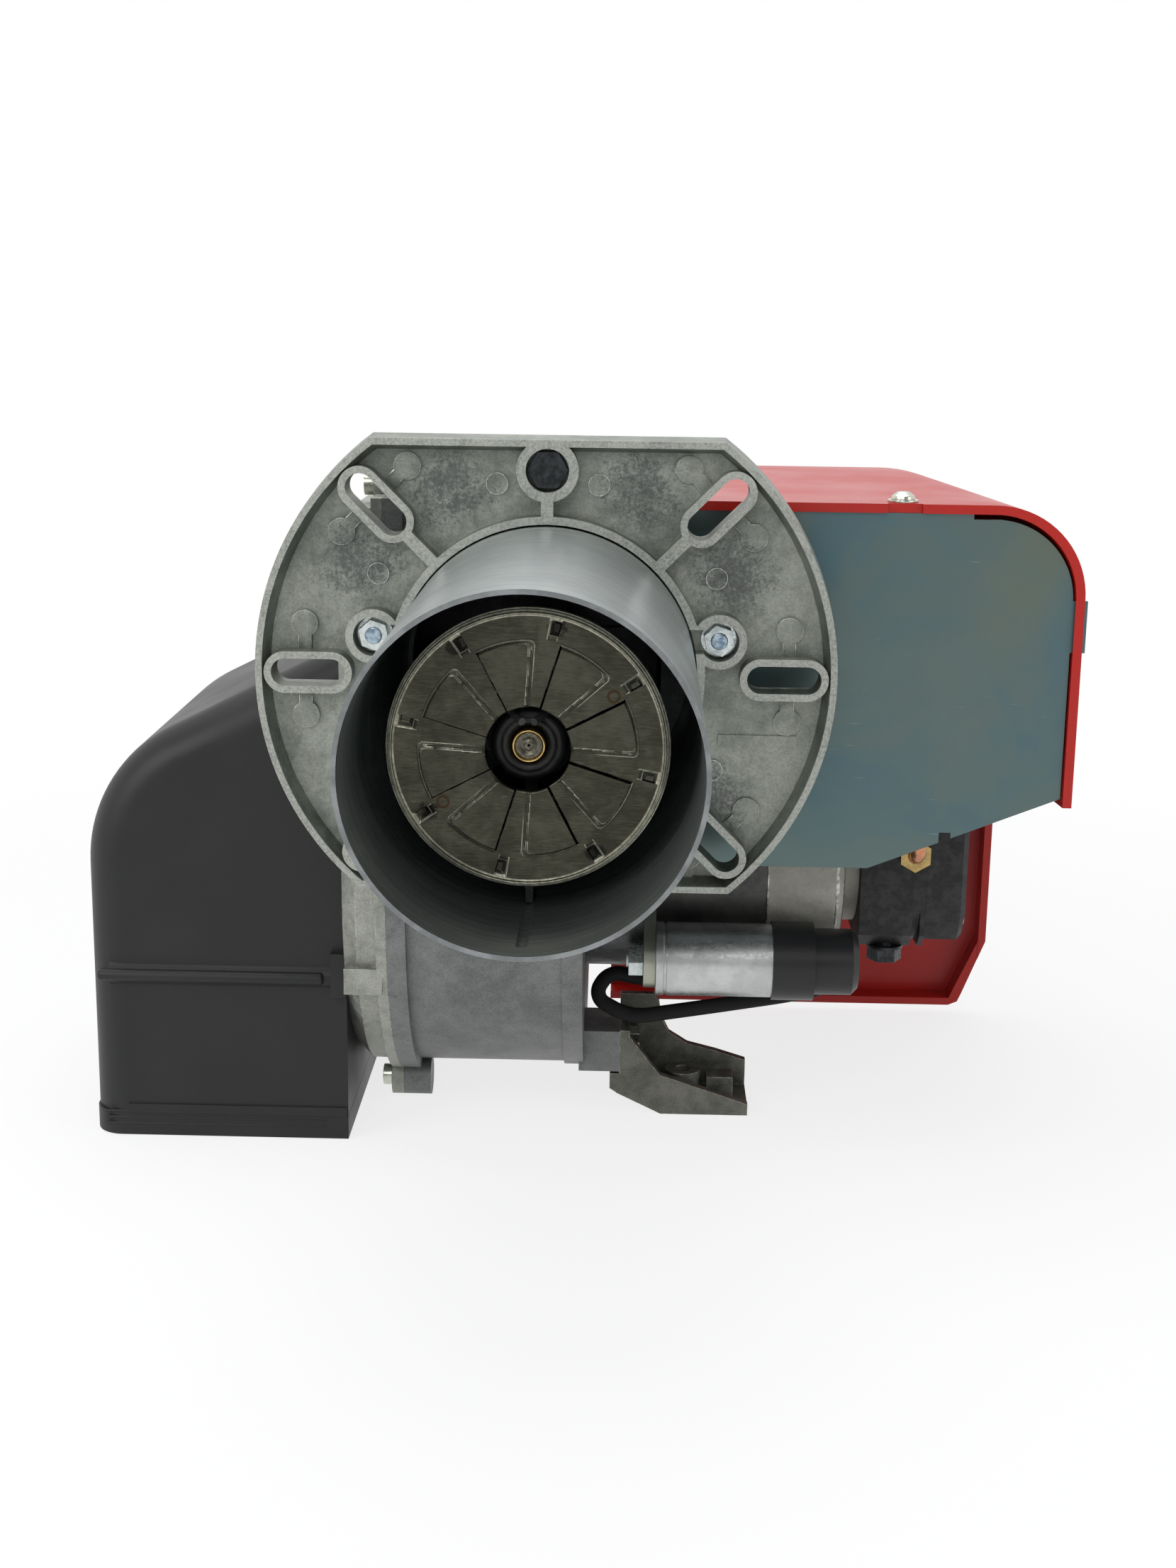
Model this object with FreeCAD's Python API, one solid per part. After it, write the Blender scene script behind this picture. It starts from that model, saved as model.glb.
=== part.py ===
import FreeCAD, Part
import math
import os

# Diesel burner: a blast tube with a swirl disc, a cast slotted boiler flange, a two-part fan casing
# with a moulded air inlet box, a motor with an oil pump on its far end, and a red moulded hood.
# Frame: the origin is where the blast tube's axis meets the boiler side of the flange.
# X runs to the pump side, Y away from the boiler, Z up. All sizes are in millimetres.

# Clearances
slide_gap = 0.10
seat_gap = 0.05
skin_gap = 0.30

# Blast tube
tube_r = 54.0
tube_wall = 1.5
tube_reach = 166.0
tube_seat = 14.0
neck_relief = 0.7
neck_start = 1.0
bead_width = 5.0
bead_depth = 0.7
bead_wall = 0.9
bead_front = 8.0
bead_length = 132.0

# Boiler flange
flange_r = 105.0
flange_t = 14.0
flange_draft = 1.0
flat_top = 84.2
flat_bottom = 80.0
rim_width = 2.4
rim_slope = 2.0
web_t = 5.0
bore_gap = 0.6
bore_ring = 2.8
slot_width = 10.0
slot_place = 0.66
slot_share = 0.31
slot_wall = 2.6
slot_angles = (0, 45, 135, 180, 225, 315)
rib_width = 4.4
stud_out = 8.3
stud_z = 13.5
stud_r = 3.0
stud_pocket_r = 7.1
stud_wall = 2.8
channel_half = 4.4
bolt_out = 19.5
bolt_r = 4.0
bolt_pocket_r = 7.7
bolt_wall = 3.4
number_pad = 0.7

# Flange nuts and the clamp bolt
nut_flats = 10.0
nut_height = 6.6
nut_collar_r = 6.5
bolt_flats = 13.0
bolt_head = 5.4

# Fan casing
fan_y = 122.0
fan_z = -95.0
drum_r = 91.0
casing_wall = 4.0
casing_left = -80.0
parting_x = -62.0
drum_right = 14.0
chamber_right = 46.0
throat_top = 56.5
throat_back = 150.0
chamber_floor = -38.0
chamber_lip_y = 66.0
chamber_lip_z = -52.0
collar_wall = 8.0
parting_rise = 4.0
parting_left_t = 4.0
parting_right_t = 7.6
lug_r = 8.0
lug_out = 7.4
lug_left_t = 5.0
lug_right_t = 11.5
casing_screw_r = 2.5
pan_r = 2.0
pan_head_r = 4.0
pan_head = 2.5
inlet_r = 48.0
tongue_drop = 6.5
ring_t = 8.0
ring_rise = 1.2
arm_low = -181.5
arm_high = -164.0

# Fan wheel
wheel_r = 66.0
wheel_width = 54.0
wheel_left = -52.0
blade_count = 24
blade_depth = 14.0
blade_t = 1.2
hub_r = 14.0

# Motor
motor_r = 42.0
motor_nose_r = 50.0
nose_end = 38.0
stator_end = 88.0
shield_end = 120.0
stator_depth = 17.4
air_gap = 0.5
shaft_r = 6.0
bearing_r = 16.0
bearing_t = 10.0
motor_ear_angles = (30, 85, 210, 275)
gland_x = 58.0
gland_y = 98.0

# Oil pump
pump_left = 127.0
pump_split = 154.0
pump_right = 171.0
pump_half = 33.0
pump_hub_r = 29.0
pump_shaft_r = 4.0
coil_r = 16.0
coil_length = 34.0
pipe_r = 3.0

# Capacitor
can_angle = 215.3
can_gap = 1.8
can_r = 15.0
can_length = 58.0
cap_wall = 1.0
cap_step_x = 107.0
cap_end_x = 125.0
cap_tail_r = 13.5
cap_round = 2.6
bracket_t = 5.0
lead_r = 3.1

# Air inlet box
box_left = -184.0
box_front = 48.0
box_back = 196.0
box_bottom = -200.0
box_base_h = 9.8
box_wall = 2.5
box_slope = 26.6
box_shoulder_r = 62.0
box_top_right = 2.0
box_round = 15.0
box_chamfer = 9.5
box_screw_out = 6.5
flap_x = -130.0
flap_z = -148.0
flap_half = 38.0
flap_t = 2.0
flap_shaft_r = 3.0
flap_y0 = 68.0
flap_y1 = 182.0

# Foot
foot_y0 = 82.0
foot_y1 = 112.0
foot_wall = 4.0
foot_left = 29.0
foot_right = 83.0

# Hood and its front plate
hood_left = 46.3
hood_right = 201.0
hood_top = 60.0
hood_front = 42.5
hood_back = 223.0
hood_t = 3.5
hood_low = -192.5
hood_slant = 10.0
hood_slant_rise = 32.0
hood_tray = 15.0
hood_round_front = 35.0
hood_round_back = 58.0
plate_t = 1.5
plate_face = 44.5
plate_low = -81.3
shelf_z = -44.0

# Combustion head
disc_r = 41.3
disc_step = 2.0
disc_t = 1.0
disc_y = -125.6
disc_hole_r = 13.0
vane_count = 8
vane_r = 32.3
vane_start = -3.0
vane_end = 27.4
vane_root = 1.5
vane_slit = 0.8
vane_lift = 2.4
collar_h = 2.4
rim_h = 3.0
slit_angle = 33.0
slit_inner = 34.5
slit_outer = 39.0
arm_r = 29.0
arm_width = 5.0
arm_angles = (80, 215, 350)
nozzle_r = 5.2
holder_r = 10.0
line_r = 5.0
head_stroke = 7.5
screw_r = 3.0
screw_z = 24.0

V = FreeCAD.Vector
X_AXIS = V(1, 0, 0)
Y_AXIS = V(0, 1, 0)
Z_AXIS = V(0, 0, 1)
ORIGIN = V(0, 0, 0)

flange_web_y = flange_t - web_t
bore_r = tube_r + bore_gap
slot_room = flange_r - rim_width - rim_slope - bore_r - bore_ring
slot_centre = bore_r + bore_ring + slot_place * slot_room
slot_run = slot_share * slot_room - slot_width / 2
slot_inner = slot_centre - slot_run
slot_outer = slot_centre + slot_run
stud_x = tube_r + stud_out
bolt_z = tube_r + bolt_out
collar_r = tube_r + collar_wall
stator_bore = motor_r - stator_depth
can_reach = motor_r + can_r + can_gap
can_y = fan_y + can_reach * math.cos(math.radians(can_angle))
can_z = fan_z + can_reach * math.sin(math.radians(can_angle))
casing_front = fan_y - drum_r
box_split = box_bottom + box_base_h
os.makedirs("parts", exist_ok=True)


def box(x0, x1, y0, y1, z0, z1):
    """A block between two corners."""
    return Part.makeBox(x1 - x0, y1 - y0, z1 - z0, V(x0, y0, z0))


def rod_x(radius, x0, x1, y, z):
    """A cylinder along X."""
    return Part.makeCylinder(radius, x1 - x0, V(x0, y, z), X_AXIS)


def rod_y(radius, y0, y1, x, z):
    """A cylinder along Y."""
    return Part.makeCylinder(radius, y1 - y0, V(x, y0, z), Y_AXIS)


def rod_z(radius, z0, z1, x, y):
    """A cylinder along Z."""
    return Part.makeCylinder(radius, z1 - z0, V(x, y, z0), Z_AXIS)


def tube_x(outer, inner, x0, x1, y, z):
    """A ring along X."""
    return rod_x(outer, x0, x1, y, z).cut(rod_x(inner, x0, x1, y, z))


def tube_y(outer, inner, y0, y1, x, z):
    """A ring along Y."""
    return rod_y(outer, y0, y1, x, z).cut(rod_y(inner, y0, y1, x, z))


def prism(points, direction):
    """A straight prism from a closed polygon."""
    return Part.Face(Part.makePolygon(points + [points[0]])).extrude(direction)


def slab_yz(points, x0, x1):
    """A prism along X from points given as (y, z)."""
    return prism([V(x0, y, z) for y, z in points], V(x1 - x0, 0, 0))


def slab_xz(points, y0, y1):
    """A prism along Y from points given as (x, z)."""
    return prism([V(x, y0, z) for x, z in points], V(0, y1 - y0, 0))


def hexagon(flats, base, axis, length, turn=0.0):
    """A hexagon bar from its width across flats."""
    side = flats / math.sqrt(3)
    across = V(0, 0, 1) if abs(axis.z) < 0.5 else V(1, 0, 0)
    other = axis.cross(across)
    points = []
    for i in range(6):
        angle = math.radians(60 * i + turn)
        points.append(base + across * (side * math.cos(angle)) + other * (side * math.sin(angle)))
    return prism(points, axis * length)


def hex_head(flats, base, axis, length, turn=0.0):
    """A hexagon head whose outer corners are turned off at the free end, which lies along axis."""
    bar = hexagon(flats, base, axis, length, turn)
    corner = flats / math.sqrt(3)
    cone = Part.makeCone(corner + length, flats / 2 - 0.3, length + corner - flats / 2 + 0.3, base, axis)
    return bar.common(cone)


def turned(points, base, axis):
    """A turned piece from (distance along the axis, radius) points, revolved a full turn."""
    across = V(0, 0, 1) if abs(axis.z) < 0.5 else V(1, 0, 0)
    wire = Part.makePolygon([base + axis * a + across * r for a, r in points + [points[0]]])
    return Part.Face(wire).revolve(base, axis, 360)


def around(shape, centre, axis, angles):
    """Copies of a shape turned about an axis."""
    return [shape.rotated(centre, axis, angle) for angle in angles]


def joined(shapes):
    """One solid from shapes that touch."""
    first = shapes[0]
    return first.fuse(shapes[1:]).removeSplitter()


def save(shape, name):
    """Writes one sub-part."""
    if not shape.isValid():
        raise ValueError(name + " is not a valid shape")
    shape.exportStep("parts/" + name + ".step")


def save_group(shapes, name):
    """Writes identical pieces as a group of separate solids."""
    save(Part.makeCompound(shapes), name)


# Boiler flange

def flange_solid(y0, y1, inset0, inset1):
    """A round plate with a flat at the top and the bottom, drawn in by one amount in front and one behind."""
    front = flange_r - inset0
    back = flange_r - inset1
    if inset0 == inset1:
        disc = Part.makeCylinder(front, y1 - y0, V(0, y0, 0), Y_AXIS)
    else:
        disc = Part.makeCone(front, back, y1 - y0, V(0, y0, 0), Y_AXIS)
    flats = slab_yz([(y0, inset0 - flat_bottom), (y0, flat_top - inset0), (y1, flat_top - inset1),
                     (y1, inset1 - flat_bottom)], -flange_r * 2, flange_r * 2)
    return disc.common(flats)


def radial_slot(angle, half_width, y0, y1):
    """A slot's outline as a solid, at an angle about the tube's axis."""
    bar = box(slot_inner, slot_outer, y0, y1, -half_width, half_width)
    ends = [rod_y(half_width, y0, y1, slot_inner, 0), rod_y(half_width, y0, y1, slot_outer, 0)]
    return joined([bar] + ends).rotated(ORIGIN, Y_AXIS, -angle)


def radial_bar(angle, r0, r1, width, y0, y1):
    """A straight rib at an angle about the tube's axis."""
    return box(r0, r1, y0, y1, -width / 2, width / 2).rotated(ORIGIN, Y_AXIS, -angle)


def mounting_flange():
    """The die-cast boiler flange: rim, web, bore ring, slot walls, nut pockets and ribs."""
    plate = flange_solid(0, flange_t, 0, -flange_draft)
    recess = flange_solid(0, flange_web_y, rim_width, rim_width + rim_slope)
    plate = plate.cut(recess)
    raised = [rod_y(bore_r + bore_ring, 0, flange_t, 0, 0)]
    for angle in slot_angles:
        raised.append(radial_slot(angle, slot_width / 2 + slot_wall, 0, flange_t))
        if angle % 180:
            raised.append(radial_bar(angle, bore_r, slot_inner, rib_width, 0, flange_t))
    for side in (-1, 1):
        raised.append(rod_y(stud_pocket_r + stud_wall, 0, flange_t, side * stud_x, stud_z))
    raised.append(rod_y(bolt_pocket_r + bolt_wall, 0, flange_t, 0, bolt_z))
    raised.append(box(-rib_width / 2, rib_width / 2, 0, flange_t, bore_r, bolt_z))
    within = flange_solid(0, flange_t, rim_width / 2, rim_width / 2)
    raised = [piece.common(within) for piece in raised]
    x0 = bore_r + 3 * bore_ring
    x1 = flange_r - 3 * (rim_width + rim_slope)
    raised.append(box(x0, x1, flange_web_y - number_pad, flange_web_y, -26, -22))
    body = joined([plate] + raised)
    cuts = [rod_y(bore_r, -1, flange_t + 1, 0, 0)]
    for angle in slot_angles:
        cuts.append(radial_slot(angle, slot_width / 2, -1, flange_t + 1))
    for side in (-1, 1):
        cuts.append(rod_y(stud_pocket_r, -1, flange_web_y, side * stud_x, stud_z))
        cuts.append(rod_y(stud_r + 2 * seat_gap + 0.3, -1, flange_t + 1, side * stud_x, stud_z))
        inner, outer = sorted((side * tube_r * 0.9, side * stud_x))
        cuts.append(box(inner, outer, -1, flange_web_y, stud_z - channel_half, stud_z + channel_half))
    cuts.append(rod_y(bolt_pocket_r, -1, flange_web_y, 0, bolt_z))
    cuts.append(rod_y(bolt_r + 0.5, -1, flange_t + 1, 0, bolt_z))
    return body.cut(cuts)


def flange_fasteners():
    """Two studs with flange nuts and the hexagon clamp bolt."""
    studs = []
    nuts = []
    for side in (-1, 1):
        x = side * stud_x
        front = flange_web_y - nut_height - 0.6
        studs.append(rod_y(stud_r, front, casing_front - 3, x, stud_z))
        base = V(x, flange_web_y, stud_z)
        collar = Part.makeCylinder(nut_collar_r, 1.2, base, Y_AXIS * -1)
        nut = joined([collar, hex_head(nut_flats, base, Y_AXIS * -1, nut_height, 12)])
        nuts.append(nut.cut(rod_y(stud_r + seat_gap, -9, flange_t, x, stud_z)))
    save_group(studs, "flange_studs")
    save_group(nuts, "flange_nuts")
    base = V(0, flange_web_y, bolt_z)
    head = hex_head(bolt_flats, base, Y_AXIS * -1, bolt_head, 30)
    shank = rod_y(bolt_r, flange_web_y, casing_front - 3, 0, bolt_z)
    save(joined([head, shank]), "flange_bolt")


# Blast tube

def blast_tube():
    """The steel tube, with a guide bead pressed outward along its bottom."""
    y0 = -tube_reach
    inner_r = tube_r - tube_wall
    shell = tube_y(tube_r, inner_r, y0, -neck_start, 0, 0)
    neck = tube_y(tube_r - neck_relief, inner_r, -neck_start, flange_t + tube_seat, 0, 0)
    half = bead_width / 2
    y_a = y0 + bead_front + half
    y_b = y_a + bead_length
    depth_z = -(inner_r + bead_depth)
    path = Part.makeLine(V(0, y_a, depth_z + half), V(0, y_b, depth_z + half))
    groove = rod_y(half, y_a, y_b, 0, depth_z + half)
    ends = [Part.makeSphere(half, V(0, y, depth_z + half)) for y in (y_a, y_b)]
    ridge_r = half + bead_wall
    ridge = rod_y(ridge_r, y_a, y_b, 0, depth_z + half)
    ridge_ends = [Part.makeSphere(ridge_r, V(0, y, depth_z + half)) for y in (y_a, y_b)]
    outside = joined([ridge] + ridge_ends).cut(rod_y(inner_r, y0, flange_t, 0, 0))
    return joined([shell, neck, outside]).cut([groove] + ends)


# Fan casing

def casing_profile(x, grow):
    """Outline of the casing across X: the throat box above the round fan drum."""
    radius = drum_r + grow
    front = fan_y - radius
    top = throat_top + grow
    back = throat_back + grow
    meet_z = fan_z + math.sqrt(radius ** 2 - (back - fan_y) ** 2)
    a = V(x, front, fan_z)
    b = V(x, front, top)
    c = V(x, back, top)
    d = V(x, back, meet_z)
    low = V(x, fan_y, fan_z - radius)
    side = V(x, fan_y + radius, fan_z)
    edges = [
        Part.makeLine(a, b),
        Part.makeLine(b, c),
        Part.makeLine(c, d),
        Part.Arc(d, side, low).toShape(),
        Part.Arc(low, V(x, fan_y - radius * math.sin(0.7), fan_z - radius * math.cos(0.7)), a).toShape(),
    ]
    return Part.Face(Part.Wire(edges))


def casing_slab(x0, x1, grow):
    """The casing's outline as a solid between two planes across X."""
    return casing_profile(x0, grow).extrude(V(x1 - x0, 0, 0))


def lug_points():
    """Places (y, z) of the casing screws round the parting flange."""
    ring = drum_r + lug_out
    points = [(throat_back - 14, throat_top + lug_out), (casing_front + 20, throat_top + lug_out)]
    for angle in (-106, -40, 10):
        y = fan_y + ring * math.cos(math.radians(angle))
        z = fan_z + ring * math.sin(math.radians(angle))
        points.append((y, z))
    return points


def parting_flange(x0, x1, lug_x0, lug_x1):
    """Raised edge along the parting line, with a thicker lug at each screw."""
    edge = casing_slab(x0, x1, parting_rise)
    lugs = [rod_x(lug_r, lug_x0, lug_x1, y, z) for y, z in lug_points()]
    return joined([edge] + lugs)


def stud_boss(y0, y1, grow):
    """The bosses in front of the casing that carry the flange studs and the bolt."""
    pieces = [rod_y(stud_r + 4 + grow, y0, y1, side * stud_x, stud_z) for side in (-1, 1)]
    pieces.append(rod_y(bolt_r + 4.5 + grow, y0, y1, 0, bolt_z))
    pieces.append(box(-6 - grow, 6 + grow, y0, y1, collar_r - 4, bolt_z))
    return pieces


def chamber_points(grow):
    """Outline (y, z) of the wider chamber behind the blast tube, over the motor."""
    return [
        (casing_front - grow, throat_top + grow),
        (casing_front - grow, chamber_lip_z - grow),
        (chamber_lip_y + grow, chamber_lip_z - grow),
        (chamber_lip_y + grow, chamber_floor - grow),
        (throat_back + grow, chamber_floor - grow),
        (throat_back + grow, throat_top + grow),
    ]


def casing_right():
    """The main casting: drum, throat, collar for the tube, chamber and foot arm."""
    w = casing_wall
    body = [casing_slab(parting_x, drum_right, 0)]
    body.append(slab_yz(chamber_points(0), drum_right - w, chamber_right))
    edge_right = parting_x + parting_right_t
    body.append(parting_flange(parting_x, edge_right, parting_x, parting_x + lug_right_t))
    low_half = box(parting_x, drum_right, casing_front - ring_rise, fan_y + 2 * drum_r,
                   fan_z - 2 * drum_r, chamber_lip_z)
    body.append(rod_x(drum_r + ring_rise, drum_right - ring_t, drum_right, fan_y, fan_z).common(low_half))
    body.append(rod_y(collar_r, flange_t, casing_front + w, 0, 0))
    body += stud_boss(flange_t, casing_front + w / 2, 0)
    body.append(box(parting_x, parting_x + 12, casing_front - 9, casing_front + w, stud_z - 7, stud_z + 7))
    body.append(box(drum_right - 2, foot_left, foot_y0, foot_y1, arm_low, arm_high))
    shape = joined(body)
    cavity = casing_slab(parting_x - 1, drum_right - w, -w)
    upper = slab_yz(chamber_points(-w), drum_right - w - 1, chamber_right - w)
    neck_r = tube_r - neck_relief
    tube_seat_bore = rod_y(neck_r + seat_gap, flange_t - 1, flange_t + tube_seat, 0, 0)
    passage = rod_y(neck_r - tube_wall - 1, flange_t, casing_front + w + 1, 0, 0).common(
        box(parting_x, chamber_right - w, 0, 2 * casing_front, -tube_r, tube_r))
    cuts = [cavity, upper, tube_seat_bore, passage]
    cuts.append(rod_x(motor_pilot_r(), 0, drum_right + 1, fan_y, fan_z))
    for side in (-1, 1):
        cuts.append(rod_y(stud_r + seat_gap, 0, casing_front - 3 + seat_gap, side * stud_x, stud_z))
    cuts.append(rod_y(bolt_r + seat_gap, 0, casing_front - 3 + seat_gap, 0, bolt_z))
    for y, z in lug_points():
        cuts.append(rod_x(casing_screw_r + seat_gap, parting_x - 1, parting_x + parting_right_t - 1, y, z))
    x0, x1, z0, z1 = rear_opening()
    cuts.append(box(x0, x1, throat_back - w - 1, throat_back + 1, z0, z1))
    cuts.append(rod_y(line_r + 1, throat_back - w - 1, throat_back + 1, 0, 0))
    shape = shape.cut(cuts)
    return joined([shape, scroll_tongue()])


def motor_pilot_r():
    """Radius of the opening in the drum's wall that the motor's nose closes."""
    return bearing_r + 12


def rear_opening():
    """The access opening in the back of the throat: x0, x1, z0, z1."""
    return -42.0, chamber_right - 3 * casing_wall, -4.0, throat_top - 2.5 * casing_wall


def scroll_tongue():
    """The wall inside that parts the drum from the throat, so air leaves at the front only."""
    w = casing_wall
    radius = drum_r - tongue_drop
    ring = tube_x(radius, radius - 3, parting_x, drum_right - w / 2, fan_y, fan_z)
    keep = box(parting_x, drum_right - w / 2, fan_y - 36, throat_back - w / 2, fan_z, 20)
    return ring.common(keep)


def casing_left_cover():
    """The inlet side casting, with a chamfered rim, the fan inlet and the box's hook boss."""
    w = casing_wall
    outer = casing_slab(casing_left, parting_x, 0)
    rim = [edge for edge in outer.Edges if edge_lies_at(edge, casing_left)]
    outer = outer.makeChamfer(rim_chamfer, rim)
    boss = box(casing_left + 1, parting_x - 2, casing_front + 1, casing_front + 15, -133, -122.5)
    pad = tube_x(inlet_r + 12, inlet_r, casing_left, casing_left + w, fan_y, fan_z)
    seam = parting_flange(parting_x - parting_left_t, parting_x, parting_x - lug_left_t, parting_x)
    body = joined([outer, seam, boss, pad])
    cavity = casing_slab(casing_left + w, parting_x + 1, -w)
    cuts = [cavity, rod_x(inlet_r, casing_left - 1, parting_x, fan_y, fan_z)]
    cuts += [rod_x(pan_r + seat_gap, casing_left - 1, casing_left + w, y, z) for y, z in box_screw_points()]
    for y, z in lug_points():
        cuts.append(rod_x(casing_screw_r + seat_gap, parting_x - 30, parting_x + 1, y, z))
    cuts.append(box(parting_x - 9, parting_x + 1, casing_front - 10, casing_front + w,
                    stud_z - 8, stud_z + 8))
    body = body.cut(cuts)
    mouth = turned([(0, inlet_r), (0, inlet_r + 4), (wheel_left - casing_left - 6, inlet_r + 2),
                    (wheel_left - casing_left + 2, inlet_r + 2), (wheel_left - casing_left + 2, inlet_r)],
                   V(casing_left, fan_y, fan_z), X_AXIS)
    return joined([body, mouth])


rim_chamfer = 6.0


def edge_lies_at(edge, x):
    """Whether every point of an edge lies in the plane at x."""
    return all(abs(vertex.X - x) < 1e-6 for vertex in edge.Vertexes)


def casing_screws():
    """Screws through the parting flange."""
    pieces = []
    start = parting_x - lug_left_t
    for y, z in lug_points():
        shank = rod_x(casing_screw_r, start, parting_x + parting_right_t - 1.5, y, z)
        head = rod_x(4.4, start - 4, start, y, z)
        pieces.append(joined([head, shank]))
    return pieces


def rear_cover():
    """The plate behind the throat, with the guide that the nozzle line slides in."""
    x0, x1, z0, z1 = rear_opening()
    plate = box(x0 - 7, x1 + 7, throat_back, throat_back + 3, z0 - 4, z1 + 7)
    block_end = throat_back + 36
    block = hexagon(16, V(0, throat_back, 0), Y_AXIS, block_end - throat_back, 30)
    port = rod_x(5.5, 0, 11, block_end - 9, 0)
    screw_seat = rod_y(7, throat_back, throat_back + 6, 0, screw_z)
    body = joined([plate, block, port, screw_seat])
    bore = rod_y(line_r + slide_gap, throat_back - 1, block_end - 4, 0, 0)
    side = rod_x(pipe_r + seat_gap, 3, 12, block_end - 9, 0)
    hole = rod_y(screw_r + slide_gap, throat_back - 1, throat_back + 7, 0, screw_z)
    eye = rod_y(7.55, throat_back - 1, throat_back + 4, -27, 27)
    cuts = [bore, side, hole, eye]
    cuts += [rod_y(pan_r + seat_gap, throat_back - 1, throat_back + 4, x, z)
             for x, z in cover_screw_points()]
    return body.cut(cuts)


def cover_screw_points():
    """Corners (x, z) of the rear cover where its screws go."""
    x0, x1, z0, z1 = rear_opening()
    return [(x0 - 3.5, z1 + 3.5), (x1 + 3.5, z0 + 6)]


def photocell():
    """The flame sensor in its round holder on the rear cover."""
    y0 = throat_back - 6
    return turned([(0, 0), (0, 7.4), (9, 7.4), (9, 11), (13, 11), (13, 8.5), (36, 8.5), (36, 0)],
                  V(-27, y0, 27), Y_AXIS)


# Fan wheel

def fan_wheel():
    """Forward-curved blades between a back disc with a hub and a front ring."""
    right = wheel_left + wheel_width
    centre = V(0, fan_y, fan_z)
    disc = tube_x(wheel_r, shaft_r + seat_gap, right, right + 1.6, fan_y, fan_z)
    hub = tube_x(hub_r, shaft_r + seat_gap, right - 20, right + 6, fan_y, fan_z)
    ring = tube_x(wheel_r, wheel_r - blade_depth + 1, wheel_left, wheel_left + 1.6, fan_y, fan_z)
    rim = wheel_r - 0.2
    root = wheel_r - blade_depth
    middle = (root + rim) / 2
    bow = blade_depth * 0.34
    half = blade_t / 2
    x = wheel_left + 0.8
    line = [(-half, root), (-half - bow, middle), (-half, rim), (half, rim), (half - bow, middle),
            (half, root)]
    blade = slab_yz([(fan_y + dy, fan_z + r) for dy, r in line], x, x + wheel_width)
    blades = around(blade, centre, X_AXIS, [360 * i / blade_count for i in range(blade_count)])
    return joined([disc, hub, ring] + blades)


# Motor

def motor():
    """Nose casting, stator, end shield, windings, bearings, shaft and rotor core."""
    y, z = fan_y, fan_z
    seat = bearing_r + seat_gap
    pilot = motor_pilot_r()
    nose = turned([
        (-casing_wall, shaft_r + 2), (-casing_wall, pilot - seat_gap), (0, pilot - seat_gap),
        (0, motor_nose_r),
        (nose_end - drum_right, motor_nose_r), (nose_end - drum_right, motor_r - 3),
        (9, motor_r - 3), (9, seat + 3), (14, seat + 3), (14, seat), (4, seat), (4, shaft_r + 2),
    ], V(drum_right, y, z), X_AXIS)
    ears = []
    for angle in motor_ear_angles:
        ear = rod_x(6.5, drum_right, drum_right + 7, y, z + motor_nose_r + 4.2)
        ears.append(ear.rotated(V(0, y, z), X_AXIS, angle))
    holes = [rod_x(2.5 + seat_gap, drum_right - 1, drum_right + 8, y, z + motor_nose_r + 5.2).rotated(
        V(0, y, z), X_AXIS, angle) for angle in motor_ear_angles]
    save(joined([nose] + ears).cut(holes), "motor_nose")
    screws = []
    for angle in motor_ear_angles:
        shank = rod_x(2.5, drum_right, drum_right + 7, y, z + motor_nose_r + 5.2)
        head = hex_head(8.0, V(drum_right + 7, y, z + motor_nose_r + 5.2), X_AXIS, 4.0)
        screws.append(joined([shank, head]).rotated(V(0, y, z), X_AXIS, angle))
    save_group(screws, "motor_screws")
    core_left = nose_end + 8
    core_right = stator_end - 6
    stator = turned([
        (nose_end, motor_r - 3), (nose_end, motor_r), (stator_end, motor_r), (stator_end, motor_r - 3),
        (core_right, motor_r - 3), (core_right, stator_bore), (core_left, stator_bore),
        (core_left, motor_r - 3),
    ], V(0, y, z), X_AXIS)
    gland_z = gland_floor()
    gland = rod_z(5.5, gland_z - 5, gland_z + 3, gland_x, gland_y)
    gland = gland.cut(rod_x(motor_r - 1, nose_end, stator_end, y, z))
    stator = joined([stator, gland])
    socket = rod_z(lead_r + seat_gap, gland_z - 6, gland_z - 1.5, gland_x, gland_y)
    save(stator.cut(socket), "motor_stator")
    rings = [tube_x(motor_r - 5, stator_bore + 3, x0, x1, y, z)
             for x0, x1 in ((core_left - 6, core_left), (core_right, core_right + 5))]
    save_group(rings, "motor_windings")
    end = shield_end
    inner_seat = end - 22
    shield = turned([
        (stator_end, motor_r - 3.5), (stator_end, motor_r), (end - 3, motor_r), (end, motor_r - 3),
        (end, shaft_r + 6), (end - 12, shaft_r + 6), (end - 12, seat), (inner_seat, seat),
        (inner_seat, seat + 3), (end - 8, seat + 3), (end - 8, motor_r - 3.5),
    ], V(0, y, z), X_AXIS)
    save(shield, "motor_end_shield")
    first = drum_right + 4
    second = end - 12 - bearing_t
    bearings = [tube_x(bearing_r, shaft_r + seat_gap, x, x + bearing_t, y, z) for x in (first, second)]
    save_group(bearings, "motor_bearings")
    save(rod_x(shaft_r, wheel_left + wheel_width - 22, end - 1, y, z), "motor_shaft")
    core = tube_x(stator_bore - air_gap, shaft_r + seat_gap, core_left, core_right, y, z)
    save(core, "rotor_core")


def gland_floor():
    """Height of the motor's round side where the lead's gland sits."""
    return fan_z - math.sqrt(motor_r ** 2 - (fan_y - gland_y) ** 2)


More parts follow.
